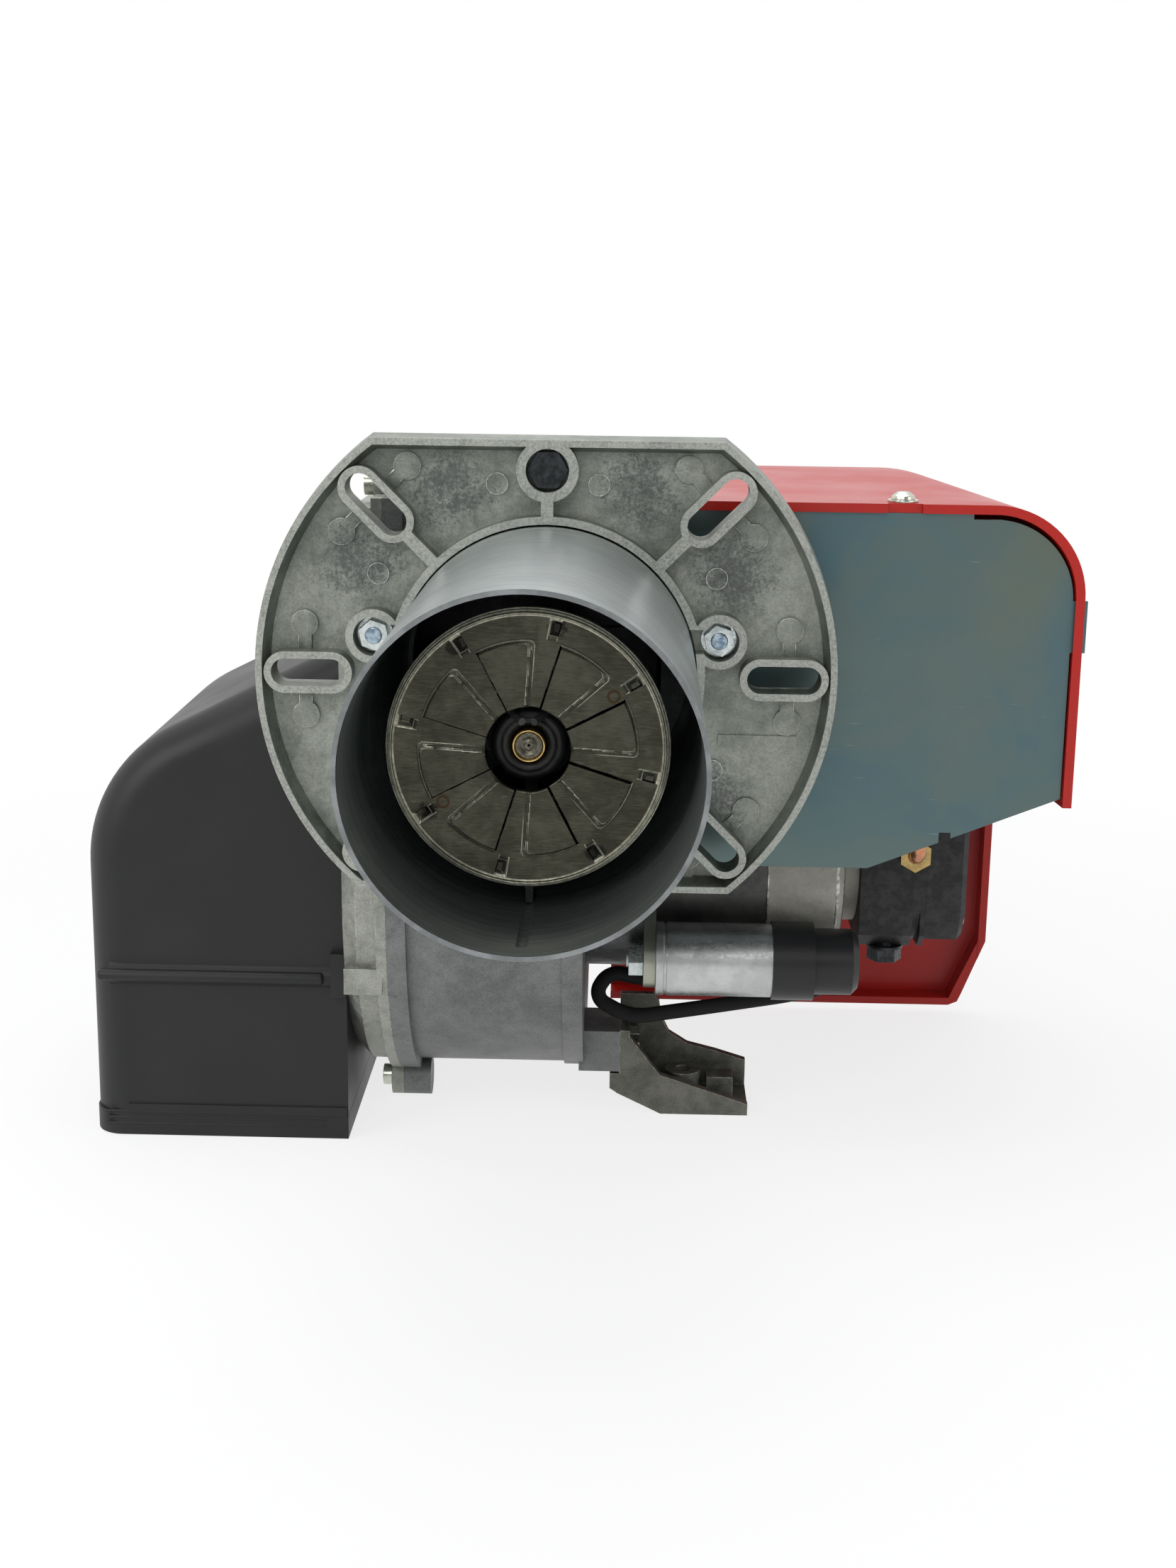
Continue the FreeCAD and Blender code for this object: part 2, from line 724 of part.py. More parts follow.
def pump_drive():
    """The plastic coupling between the motor's shaft and the pump's shaft."""
    y, z = fan_y, fan_z
    end = shield_end - 1
    sleeve = rod_x(10, end - 10, end + 12, y, z)
    sleeve = sleeve.cut([rod_x(shaft_r + seat_gap, end - 11, end + 0.5, y, z),
                         rod_x(pump_shaft_r + seat_gap, end, end + 13, y, z)])
    save(sleeve, "drive_coupling")
    save(rod_x(pump_shaft_r, end + 1.5, pump_split - 6, y, z), "pump_shaft")


def oil_pump():
    """Hub, body with ports, cover, screws, plugs and the shut-off coil."""
    y, z, h = fan_y, fan_z, pump_half
    hub = tube_x(pump_hub_r, 12, shield_end, pump_left, y, z)
    save(hub, "pump_hub")
    corners = [(y - h, z - h + 6), (y - h + 6, z - h), (y + h - 6, z - h), (y + h, z - h + 6),
               (y + h, z + h - 8), (y + h - 8, z + h), (y - h + 8, z + h), (y - h, z + h - 8)]
    body = slab_yz(corners, pump_left, pump_split)
    groove = box(pump_split - 5, pump_split - 2, y - h - 1, y + h + 1, z - h - 1, z + h + 1)
    core = rod_x(h + 4, pump_split - 6, pump_split - 1, y, z)
    body = body.cut(groove.cut(core))
    union = rod_y(5.5, y - h - 8, y - h + 1, union_x, union_z)
    body = joined([body, union])
    cuts = [rod_x(pump_shaft_r + slide_gap, pump_left - 1, pump_split - 4, y, z),
            rod_x(12, pump_left - 1, pump_left + 7, y, z),
            rod_y(pipe_r + seat_gap, y - h - 9, y - h - 2, union_x, union_z),
            rod_z(4 + seat_gap, z - h - 1, z - h + 6, plug_x, plug_y)]
    for port_y in (y - 14, y + 14):
        cuts.append(rod_z(5.0, z + h - 9, z + h + 1, pump_left + 14, port_y))
    cuts.append(rod_y(coil_stem_r() + seat_gap, y + h - 8, y + h + 1, pump_left + 13, z + 12))
    save(body.cut(cuts), "pump_body")
    lip = [(y - h + 1, z - h + 14), (y - h + 9, z - h + 2), (y + h - 8, z - h + 2), (y + h - 1, z - h + 10),
           (y + h - 1, z + h - 8), (y + h - 8, z + h - 1), (y - h + 8, z + h - 1), (y - h + 1, z + h - 8)]
    cover = slab_yz(lip, pump_split, pump_right)
    edges = [edge for edge in cover.Edges if edge_lies_at(edge, pump_right)]
    cover = cover.makeChamfer(2.2, edges)
    seats = []
    screws = []
    for sy, sz in ((-1, -1), (1, -1), (1, 1), (-1, 1)):
        cy, cz = y + sy * (h - 12), z + sz * (h - 12)
        seats.append(rod_x(4.6, pump_right - 3, pump_right + 1, cy, cz))
        seats.append(rod_x(2.5 + seat_gap, pump_split + 2, pump_right, cy, cz))
        head = rod_x(4.2, pump_right - 3, pump_right + 0.6, cy, cz)
        screws.append(joined([head, rod_x(2.5, pump_split + 2.5, pump_right - 3, cy, cz)]))
    save(cover.cut(seats), "pump_cover")
    save_group(screws, "pump_screws")
    plug = hex_head(12.5, V(plug_x, plug_y, z - h - 1.2), Z_AXIS * -1, 5.5, 0)
    washer = rod_z(7.6, z - h - 1.2, z - h, plug_x, plug_y)
    save(joined([plug, washer, rod_z(4, z - h - 1, z - h + 5.5, plug_x, plug_y)]), "pump_drain_plug")
    stoppers = []
    for port_y in (y - 14, y + 14):
        cap = turned([(0, 0), (0, 4.9), (8.5, 4.9), (8.5, 7), (12, 7), (12, 0)],
                     V(pump_left + 14, port_y, z + h - 8.5), Z_AXIS)
        stoppers.append(cap)
    save_group(stoppers, "pump_port_caps")
    coil_y = y + h + 2
    stem_x, stem_z = pump_left + 13, z + 12
    stem = turned([(-7.5, 0), (-7.5, coil_stem_r()), (0, coil_stem_r()), (0, 9), (2, 9), (2, 6),
                   (coil_length + 3, 6), (coil_length + 3, 0)], V(stem_x, y + h, stem_z), Y_AXIS)
    save(stem, "valve_stem")
    ring = tube_y(coil_r, 6 + seat_gap, coil_y, coil_y + coil_length, stem_x, stem_z)
    lug = box(stem_x - 8, stem_x + 8, coil_y + 6, coil_y + 26, stem_z - coil_r - 8, stem_z - 8)
    lug = lug.cut(rod_y(6 + seat_gap, coil_y, coil_y + coil_length, stem_x, stem_z))
    coil = joined([ring, lug])
    save(coil, "valve_coil")


def coil_stem_r():
    """Radius of the valve stem's thread in the pump body."""
    return 5.0


union_x = 147.0
union_z = -84.0
plug_x = 139.0
plug_y = 98.0


# Oil pipe and capacitor lead

def swept(points, radius, name, most=1000.0):
    """A round bar: straight runs joined by tangent arcs, as large as the shorter run and most allow."""
    pieces = []
    radii = []
    length = 0
    start = points[0]
    for i in range(1, len(points) - 1):
        corner = points[i]
        before = corner - points[i - 1]
        after = points[i + 1] - corner
        turn = before.getAngle(after)
        bend = min(most, 0.45 * min(before.Length, after.Length) / math.tan(turn / 2))
        cut = bend * math.tan(turn / 2)
        radii.append(round(bend, 1))
        u = before * (1 / before.Length)
        w = after * (1 / after.Length)
        a = corner - u * cut
        inward = w - u
        inward.normalize()
        centre = corner + inward * (bend / math.cos(turn / 2))
        section = Part.Face(Part.Wire(Part.makeCircle(radius, a, u)))
        pieces.append(Part.makeCylinder(radius, (a - start).Length, start, u))
        pieces.append(section.revolve(centre, u.cross(w), math.degrees(turn)))
        length += (a - start).Length + bend * turn
        start = corner + w * cut
    last = points[-1] - start
    pieces.append(Part.makeCylinder(radius, last.Length, start, last))
    length += last.Length
    bar = joined(pieces)
    print(name, "arc radii", radii)
    print(name, "volume over section times length", round(bar.Volume / (math.pi * radius ** 2 * length), 4))
    return bar


def oil_pipe():
    """The copper pipe from the pump's front union round to the rear cover's feed block."""
    port_y = throat_back + 27
    front_y = fan_y - pump_half - 8
    bend_y = front_y - 15
    run_z = shelf_z - pipe_r - 2.5
    back_y = port_y + 12
    rise_x = chamber_right - 10
    points = [
        V(union_x, front_y + 5, union_z),
        V(union_x, bend_y, union_z),
        V(union_x, bend_y, run_z),
        V(union_x, back_y, run_z),
        V(rise_x, back_y, run_z),
        V(rise_x, port_y, 0),
        V(5, port_y, 0),
    ]
    return swept(points, pipe_r, "oil_pipe", 4 * pipe_r)


def pipe_unions():
    """The two hexagon union nuts on the copper pipe."""
    front_y = fan_y - pump_half - 8
    first = hex_head(12, V(union_x, front_y, union_z), Y_AXIS * -1, 7).cut(
        rod_y(pipe_r + seat_gap, front_y - 9, front_y + 1, union_x, union_z))
    port_y = throat_back + 27
    second = hex_head(12, V(11, port_y, 0), X_AXIS, 8).cut(
        rod_x(pipe_r + seat_gap, 10, 20, port_y, 0))
    return [first, second]


def capacitor():
    """The can with its plastic cap, the nut on its stud, its bracket and the lead."""
    x0 = nose_end + bracket_t
    x1 = x0 + can_length
    cap_start = 90.0
    can = rod_x(can_r, x0, x1, can_y, can_z)
    groove = tube_x(can_r + 1, can_r - 0.6, x0 + 3.2, x0 + 4.4, can_y, can_z)
    stud = rod_x(4, nose_end - 7, x0, can_y, can_z)
    save(joined([can.cut(groove), stud]), "capacitor_can")
    cap = turned([
        (cap_start, can_r + seat_gap), (cap_start, can_r + cap_wall), (cap_step_x, can_r + cap_wall),
        (cap_step_x, cap_tail_r), (cap_end_x - cap_round, cap_tail_r), (cap_end_x, cap_tail_r - cap_round),
        (cap_end_x, 0), (x1, 0), (x1, can_r + seat_gap),
    ], V(0, can_y, can_z), X_AXIS)
    route = lead_route()
    exit_way = route[1] - route[0]
    exit_way.normalize()
    socket = Part.makeCylinder(lead_r + seat_gap, 10, route[0], exit_way)
    collar = Part.makeCylinder(lead_r + 1.6, 8, route[0] - exit_way * 4.5, exit_way)
    cap = joined([cap, collar]).cut(socket)
    save(cap, "capacitor_cap")
    nut = hex_head(13, V(nose_end, can_y, can_z), X_AXIS * -1, 6.0, 30).cut(
        rod_x(4 + seat_gap, nose_end - 8, nose_end + 1, can_y, can_z))
    save(nut, "capacitor_nut")
    away = V(0, fan_y - can_y, fan_z - can_z)
    away.normalize()
    side = V(0, -away.z, away.y)
    centre = V(nose_end, can_y, can_z)
    reach = math.hypot(fan_y - can_y, fan_z - can_z) - motor_r - 1
    half = 12.0
    strip = prism([centre + side * half, centre + side * half + away * reach,
                   centre - side * half + away * reach, centre - side * half], X_AXIS * bracket_t)
    plate = joined([strip, rod_x(half, nose_end, x0, can_y, can_z)])
    plate = plate.cut([rod_x(motor_r + 0.6, nose_end - 1, x0 + 1, fan_y, fan_z),
                       rod_x(4 + seat_gap, nose_end - 1, x0 + 1, can_y, can_z)])
    save(plate, "capacitor_bracket")
    save(swept(route, lead_r, "capacitor_lead"), "capacitor_lead")


def lead_route():
    """The lead's corners: out of the cap, back under the can, round its loop and up to the gland."""
    from_can = [(115.5, 10.6, -10.6), (112.5, 16.0, -17.0), (97.0, 14.5, -20.0), (66.0, 10.5, -24.0),
                (33.0, 8.2, -28.6), (17.6, 10.0, -20.5), (24.0, 14.0, -10.5), (42.0, 17.5, -15.4)]
    gland_z = gland_floor()
    corners = [V(x, can_y + dy, can_z + dz) for x, dy, dz in from_can]
    return corners + [V(gland_x, gland_y, gland_z - 16.5), V(gland_x, gland_y, gland_z - 3)]


# Air inlet box

def box_outline(inset, y, z0):
    """The box seen from the front: slanted top, a wide round shoulder and a straight side."""
    right = casing_left - inset
    left = box_left + inset
    slope = math.radians(box_slope)
    rise = inset / math.cos(slope)
    top_right = box_top_right - rise - inset * math.tan(slope)
    corner_z = top_right - (right - left) * math.tan(slope)
    radius = box_shoulder_r - inset
    cut = radius * math.tan((math.pi / 2 - slope) / 2)
    a = V(right, y, top_right)
    b = V(left + cut * math.cos(slope), y, corner_z + cut * math.sin(slope))
    c = V(left, y, corner_z - cut)
    centre = V(left + radius, y, corner_z - cut)
    middle = (math.pi + (math.pi / 2 + slope)) / 2
    m = centre + V(radius * math.cos(middle), 0, radius * math.sin(middle))
    d = V(left, y, z0)
    e = V(right, y, z0)
    edges = [Part.makeLine(a, b), Part.Arc(b, m, c).toShape(), Part.makeLine(c, d),
             Part.makeLine(d, e), Part.makeLine(e, a)]
    return Part.Face(Part.Wire(edges))


def box_skin():
    """The box's outer form: a widely rounded front edge and a smaller round at the back."""
    body = box_outline(0, box_front, box_split).extrude(V(0, box_back - box_front, 0))
    front = [edge for edge in body.Edges if on_outline_edge(edge, box_front, box_split, 0)]
    body = body.makeFillet(box_round, front)
    back = [edge for edge in body.Edges if on_outline_edge(edge, box_back, box_split, 0)]
    return body.makeFillet(box_round / 2, back)


def box_hollow():
    """The room inside the box, with its front and back edges drawn in to leave an even wall."""
    t = box_wall
    low = box_split - 1
    room = box_outline(t, box_front + t, low).extrude(V(0, box_back - box_front - 2 * t, 0))
    front = [edge for edge in room.Edges if on_outline_edge(edge, box_front + t, low, t)]
    room = room.makeChamfer(box_chamfer, front)
    back = [edge for edge in room.Edges if on_outline_edge(edge, box_back - t, low, t)]
    return room.makeChamfer(box_chamfer / 2, back)


def on_outline_edge(edge, y, z0, inset):
    """Whether an edge is part of the box's outline at the plane y, leaving out base and right side."""
    ends = edge.Vertexes
    flat = all(abs(v.Z - z0) < 1e-6 for v in ends)
    right = all(abs(v.X - (casing_left - inset)) < 1e-6 for v in ends)
    return all(abs(v.Y - y) < 1e-6 for v in ends) and not flat and not right


def air_box():
    """The moulded box over the fan inlet, with its bead, its inner shelf and shaft bosses."""
    t = box_wall
    inside = box_hollow()
    skin = box_skin()
    shell = skin.cut(inside)
    bead = rod_x(5, box_left + 9, casing_left - 6, box_front + 2.8, -131.5).cut(inside)
    step = rib_band()
    shelf = skin.common(box(box_left + t / 2, casing_left - t / 2, box_front + t / 2, box_back - t / 2,
                            flap_z - t / 2, flap_z + t / 2))
    duct = box(flap_x - flap_half - 0.8, flap_x + flap_half + 0.8, flap_y0 - 0.8, flap_y1 + 0.8,
               flap_z - t, flap_z + t)
    boss = rod_y(6.5, box_front + t / 2, flap_y0 - 2.5, flap_x, flap_z)
    back_boss = rod_y(6.5, flap_y1 + 2.5, box_back + 1, flap_x, flap_z)
    body = joined([shell, bead, step, shelf.cut(duct), boss, back_boss])
    shaft = rod_y(flap_shaft_r + slide_gap, box_front + 4, box_back + 2, flap_x, flap_z)
    inlet = rod_x(inlet_r, casing_left - t - 1, casing_left + 1, fan_y, fan_z)
    holes = [rod_x(pan_r + seat_gap, casing_left - t - 1, casing_left + 1, y, z)
             for y, z in box_screw_points()]
    hook = box(casing_left - 6, casing_left, box_front - 4, box_front + t, hook_low, hook_high)
    return joined([body.cut([shaft, inlet] + holes), hook])


hook_low = -138.6
hook_high = -120.5


def rib_band():
    """The shallow band round the lower edge of the box's front."""
    return box(box_left + box_round, casing_left - 0.5, box_front - 0.8, box_front + 1,
               box_split, box_split + 3.9)


def box_screw_points():
    """Places (y, z) of the screws from the box into the inlet casting."""
    corner = (inlet_r + box_screw_out) * math.sqrt(0.5)
    return [(fan_y - corner, fan_z - corner), (fan_y + corner, fan_z + corner)]


def air_box_base():
    """The stepped base frame with its intake bars."""
    t = box_wall
    outer = box_outline(0, box_front, box_bottom).extrude(V(0, box_back - box_front, 0)).common(
        box(box_left, casing_left, box_front, box_back, box_bottom, box_split))
    corners = [edge for edge in outer.Edges if upright(edge) and edge.Vertexes[0].X < box_left + 1]
    outer = outer.makeFillet(box_round - 3, corners)
    inner = box(box_left + 3 * t, casing_left - 3 * t, box_front + 3 * t, box_back - 3 * t,
                box_bottom - 1, box_split + 1)
    frame = outer.cut(inner)
    bars = []
    count = 7
    step = (box_back - box_front) / (count + 1)
    for i in range(1, count + 1):
        y = box_front + step * i
        bars.append(box(box_left + 2 * t, casing_left - 2 * t, y - 1.5, y + 1.5, box_bottom + 3, box_split))
    return joined([frame] + bars)


def upright(edge):
    """Whether an edge stands straight up."""
    low, high = edge.Vertexes[0], edge.Vertexes[-1]
    return abs(low.X - high.X) < 1e-6 and abs(low.Y - high.Y) < 1e-6


def damper():
    """The air flap, its shaft and the setting knob behind the box."""
    half = flap_t / 2
    flap = box(flap_x - flap_half, flap_x + flap_half, flap_y0, flap_y1, flap_z - half, flap_z + half)
    sleeve = rod_y(flap_shaft_r + 2.2, flap_y0, flap_y1, flap_x, flap_z)
    bore = rod_y(flap_shaft_r + seat_gap, flap_y0 - 1, flap_y1 + 1, flap_x, flap_z)
    save(joined([flap, sleeve]).cut(bore), "damper_flap")
    end = box_back + 14
    save(rod_y(flap_shaft_r, box_front + 5, end, flap_x, flap_z), "damper_shaft")
    knob = turned([(0, flap_shaft_r + seat_gap), (0, 15), (3.5, 15), (3.5, 10), (12.5, 10), (12.5, 0),
                   (11, 0), (11, flap_shaft_r + seat_gap)], V(flap_x, box_back + 3, flap_z), Y_AXIS)
    pointer = slab_xz([(flap_x - 3, flap_z + 13), (flap_x, flap_z + 20), (flap_x + 3, flap_z + 13)],
                      box_back + 3, box_back + 6)
    save(joined([knob, pointer]), "damper_knob")


# Foot

def foot_bracket():
    """The cast hollow foot: a low slanted front wall, a higher curved back wall and a floor."""
    low = box_bottom
    toe = foot_left - 4
    heel = [(toe, arm_low - 1), (toe, -189.0), (toe + 3.2, -191.2), (46.5, low), (foot_right, low)]
    front = [(foot_left, arm_high + 0.5), (foot_left, arm_low - 1)] + heel + [
        (foot_right, -195), (46, -182.7), (foot_left + 2, arm_high + 0.5)]
    rear = [(foot_left, -156), (foot_left, arm_low - 1)] + heel + [
        (foot_right, -185), (70, -181), (58, -178), (50, -173), (46.5, -166), (45.5, -159), (43, -156)]
    floor = heel + [(foot_right, low + foot_wall), (47.3, low + foot_wall), (toe + foot_wall, -187),
                    (toe + foot_wall, arm_low - 1)]
    body = [slab_xz(front, foot_y0, foot_y0 + foot_wall),
            slab_xz(rear, foot_y1 - foot_wall, foot_y1),
            slab_xz(floor, foot_y0, foot_y1),
            box(foot_left, foot_left + foot_wall, foot_y0, foot_y1, -188, arm_high + 0.5)]
    body.append(rod_z(7.5, -196, -185, 56, (foot_y0 + foot_y1) / 2))
    body.append(box(66, 77, foot_y0 + 10, foot_y0 + 20, -197, -187))
    shape = joined(body)
    cuts = [rod_z(3.2, -201, -184, 56, (foot_y0 + foot_y1) / 2)]
    cuts += [rod_x(3 + seat_gap, foot_left - 1, foot_left + foot_wall + 1, y, z)
             for y, z in foot_screw_points()]
    return shape.cut(cuts)


def foot_screw_points():
    """Places (y, z) of the two screws from the foot into the casing's arm."""
    middle = (foot_y0 + foot_y1) / 2
    return [(middle - 5.5, -173), (middle + 5.5, -173)]


def foot_screws():
    """The two screws that hold the foot."""
    pieces = []
    for y, z in foot_screw_points():
        head = hex_head(8, V(foot_left + foot_wall, y, z), X_AXIS, 4.2)
        pieces.append(joined([head, rod_x(3, foot_left, foot_left + foot_wall, y, z)]))
    return pieces


# Hood and electrical parts

def hood_face(y, radius, inset, left, low):
    """The hood's closed outline at the plane y: straight top, round corner, straight side."""
    right = hood_right - inset
    top = hood_top - inset
    r = radius - inset
    a = V(left, y, top)
    b = V(right - r, y, top)
    s = r * math.sqrt(0.5)
    m = V(right - r + s, y, top - r + s)
    c = V(right, y, top - r)
    d = V(right, y, low)
    e = V(left, y, low)
    return Part.Wire([Part.makeLine(a, b), Part.Arc(b, m, c).toShape(), Part.makeLine(c, d),
                      Part.makeLine(d, e), Part.makeLine(e, a)])


def hood():
    """The red hood: top, one side and the back in one skin, the side cut back below the plate."""
    outer = Part.makeLoft([hood_face(hood_front, hood_round_front, 0, hood_left, hood_low),
                           hood_face(hood_back, hood_round_back, 0, hood_left, hood_low)], True, True)
    grow = (hood_round_back - hood_round_front) / (hood_back - hood_front)
    y0 = hood_front - 1
    y1 = hood_back - hood_t
    left, low = hood_left - 1, hood_low - 1
    inner = Part.makeLoft([hood_face(y0, hood_round_front - grow, hood_t, left, low),
                           hood_face(y1, hood_round_back - grow * hood_t, hood_t, left, low)], True, True)
    skin = outer.cut(inner)
    end = hood_back - hood_tray
    below = slab_yz([(0, -52.3), (end - 22, -66), (end - 8, -80), (end - 1, -100), (end, hood_low - 2),
                     (0, hood_low - 2)], 0, 1.5 * hood_right)
    skin = skin.cut(below)
    tray_y = hood_back - hood_tray
    corner = hood_slant + 6
    ledge = box(back_left, hood_right - corner, tray_y, hood_back, hood_low, hood_low + hood_t)
    wing = box(back_left, hood_left + 1, hood_back - hood_t, hood_back, hood_low, -62)
    x, z, t = hood_right, hood_low, hood_t
    slant = [(x, z + hood_slant_rise), (x - hood_slant, z + 6), (x - hood_slant - 1.8, z + 1.8),
             (x - corner, z)]
    away = slab_xz(slant + [(x - corner, z - 1), (x + 1, z - 1), (x + 1, z + hood_slant_rise)],
                   tray_y - 2, hood_back + 1)
    wall = slab_xz(slant + [(x - corner, z + t), (x - hood_slant - t - 0.6, z + 6 + t / 2),
                            (x - t, z + hood_slant_rise)], tray_y, hood_back)
    body = joined([skin.cut(away), ledge, wing, wall])
    notch = box(screw_x - 6.5, screw_x + 6.5, hood_front - 1, hood_front + 2.2,
                hood_top - hood_t - 1, hood_top + 1)
    tab_slot = box(hood_right - 6, hood_right + 1, plate_face - 1.2, plate_face + plate_t + 0.6, 3.5, 25.5)
    button = rod_y(button_r + 1, hood_back - hood_t - 1, hood_back + 1, button_x, button_z)
    hole = rod_z(2.6, hood_top - hood_t - 1, hood_top + 1, screw_x, screw_y)
    return body.cut([notch, tab_slot, button, hole])


back_left = 24.0
screw_x = 132.0
screw_y = 51.0
button_r = 8.0
button_x = 105.0
button_z = 4.0


def hood_plate():
    """The galvanised front plate with its folds and the tab through the hood's side."""
    top = hood_top - hood_t
    right = hood_right - hood_t - 0.6
    r = hood_round_front - hood_t
    y = plate_face
    a = V(chamber_right + plate_t, y, top)
    b = V(158, y, top)
    c = V(158, y, top - 2)
    start = V(right - r + 3, y, top - 2)
    m = V(right - 0.29 * r, y, top - 0.34 * r)
    d = V(right, y, top - r - 1)
    e = V(right, y, -52.3)
    f = V(154, y, -69.4)
    g = V(124, y, plate_low)
    h = V(chamber_right + plate_t, y, plate_low)
    edges = [Part.makeLine(a, b), Part.makeLine(b, c), Part.makeLine(c, start),
             Part.Arc(start, m, d).toShape(), Part.makeLine(d, e), Part.makeLine(e, f),
             Part.makeLine(f, g), Part.makeLine(g, h), Part.makeLine(h, a)]
    panel = Part.Face(Part.Wire(edges)).extrude(V(0, plate_t, 0))
    flange = box(chamber_right + plate_t, 158, y, y + 15, top - plate_t, top)
    fold = box(chamber_right, chamber_right + plate_t, y, y + 19, -34, 44)
    tab = box(right - 4, hood_right + 1.5, y, y + plate_t, 4.6, 24.4)
    body = joined([panel, flange, fold, tab])
    cuts = [rod_z(2.6, top - 3, top + 1, screw_x, screw_y)]
    side_y, side_z = plate_screw_points()[0]
    cuts.append(rod_x(pan_r + seat_gap, chamber_right - 1, chamber_right + 3, side_y, side_z))
    notch = box(151, 155.5, y - 1, y + 3, -72, -66.5)
    return body.cut(cuts + [notch])


def plate_screw_points():
    """Places (y, z) of the screws that hold the plate and the shelf to the chamber's side."""
    return [(plate_face + 11, 34), (130, -26)]


def pan_screw(base, inward, reach):
    """A pan head screw: its head seats at base and its shank goes the way of inward."""
    head = Part.makeCylinder(pan_head_r, pan_head, base, inward * -1)
    shank = Part.makeCylinder(pan_r, reach, base, inward)
    return joined([head, shank])


def pan_screws():
    """All pan head screws: rear cover, plate and shelf, and the inlet box from inside."""
    pieces = []
    for x, z in cover_screw_points():
        pieces.append(pan_screw(V(x, throat_back + 3, z), Y_AXIS * -1, 3))
    for y, z in plate_screw_points():
        pieces.append(pan_screw(V(chamber_right + plate_t, y, z), X_AXIS * -1, plate_t))
    for y, z in box_screw_points():
        pieces.append(pan_screw(V(casing_left - box_wall, y, z), X_AXIS, box_wall + 2))
    return pieces


def shelf():
    """The folded shelf behind the plate that carries the electrical parts."""
    t = plate_t
    x0 = chamber_right
    y0 = plate_face + t
    floor = box(x0 + t, hood_right - hood_t - 8, y0, hood_back - hood_t - 3, shelf_z, shelf_z + t)
    fold = box(x0, x0 + t, 76, 146, shelf_z, -14)
    front = box(x0 + 14, hood_right - hood_t - 14, y0, y0 + t, shelf_z, shelf_z + 14)
    back = box(x0 + 14, hood_right - hood_t - 14, hood_back - hood_t - 3 - t, hood_back - hood_t - 3,
               shelf_z, shelf_z + 12)
    body = joined([floor, fold, front, back])
    y, z = plate_screw_points()[1]
    return body.cut(rod_x(pan_r + seat_gap, x0 - 1, x0 + 3, y, z))


def hood_screw():
    """Pan head screw and washer on the hood's top edge."""
    top = hood_top
    screw = turned([(-8, 0), (-8, 2.2), (1, 2.2), (1, 4.6), (2.4, 4.3), (3.9, 2.2), (3.9, 0)],
                   V(screw_x, screw_y, top), Z_AXIS)
    washer = rod_z(5.8, top, top + 1, screw_x, screw_y).cut(
        rod_z(2.2 + seat_gap, top - 1, top + 2, screw_x, screw_y))
    save_group([screw, washer], "hood_screw")


def electrical():
    """Control box on its base with the reset button, and the ignition transformer."""
    z0 = shelf_z + plate_t
    base = box(62, 152, 128, 206, z0, z0 + 12)
    save(base, "control_box_base")
    cover = box(64, 150, 130, 204, z0 + 12, 30)
    edges = [e for e in cover.Edges if e.Vertexes[0].Z > z0 + 13 or e.Vertexes[1].Z > z0 + 13]
    cover = cover.makeChamfer(2.5, edges)
    nose = rod_y(button_r + 3, 203, hood_back - hood_t - 1.5, button_x, button_z)
    well = rod_y(button_r + slide_gap, 188, hood_back, button_x, button_z)
    save(joined([cover, nose]).cut(well), "control_box")
    button = turned([(0, 0), (0, button_r), (28, button_r), (30, button_r - 2), (30, 0)],
                    V(button_x, button_tip() - 30, button_z), Y_AXIS)
    save(button, "reset_button")
    case = box(62, 134, 56, 112, z0, 22)
    raised = [e for e in case.Edges if max(e.Vertexes[0].Z, e.Vertexes[1].Z) > z0 + 1]
    case = case.makeChamfer(2.5, raised)
    sockets = [rod_x(5, 58, 63, y, 4) for y in (74, 94)]
    save(joined([case] + sockets), "ignition_transformer")


def button_tip():
    """Where the reset button ends behind the hood."""
    return hood_back + 4


# Combustion head

def pressed_vane():
    """One flat vane, hinged on its root line and standing off the disc toward the furnace."""
    inner = disc_hole_r + 2 * disc_t
    blade = wedge(inner, vane_r, vane_start - vane_root, vane_end, disc_y, disc_y + disc_t)
    root = math.radians(vane_start)
    middle = (disc_hole_r + vane_r) / 2
    tilt = math.atan(vane_lift / (middle * math.sin(math.radians(vane_end - vane_start))))
    return blade.rotated(V(0, disc_y, 0), V(math.cos(root), 0, math.sin(root)), math.degrees(tilt))


def diffuser_disc():
    """The swirl disc: turned rim and collar, eight pressed vanes and eight small slits."""
    t = disc_t
    outer = disc_r + disc_step
    plate = turned([
        (-collar_h, disc_hole_r), (-collar_h, disc_hole_r + t), (0, disc_hole_r + t), (0, disc_r - t),
        (-rim_h, disc_r - t), (-rim_h, disc_r), (rim_h, disc_r), (rim_h, outer), (rim_h + t, outer),
        (rim_h + t, disc_r - t), (t, disc_r - t), (t, disc_hole_r),
    ], V(0, disc_y, 0), Y_AXIS)
    window = wedge(disc_hole_r - 1, vane_r + skin_gap, vane_start, vane_end + vane_slit,
                   disc_y - collar_h - 1, disc_y + t + 1)
    slit = box(slit_inner, slit_outer, disc_y - 1, disc_y + t + 1, -disc_t / 2, disc_t / 2)
    slit = slit.rotated(ORIGIN, Y_AXIS, -slit_angle)
    angles = [-360 / vane_count * i for i in range(vane_count)]
    body = plate.cut(around(window, ORIGIN, Y_AXIS, angles))
    body = body.cut(around(slit, ORIGIN, Y_AXIS, angles))
    return joined([body] + around(pressed_vane(), ORIGIN, Y_AXIS, angles))


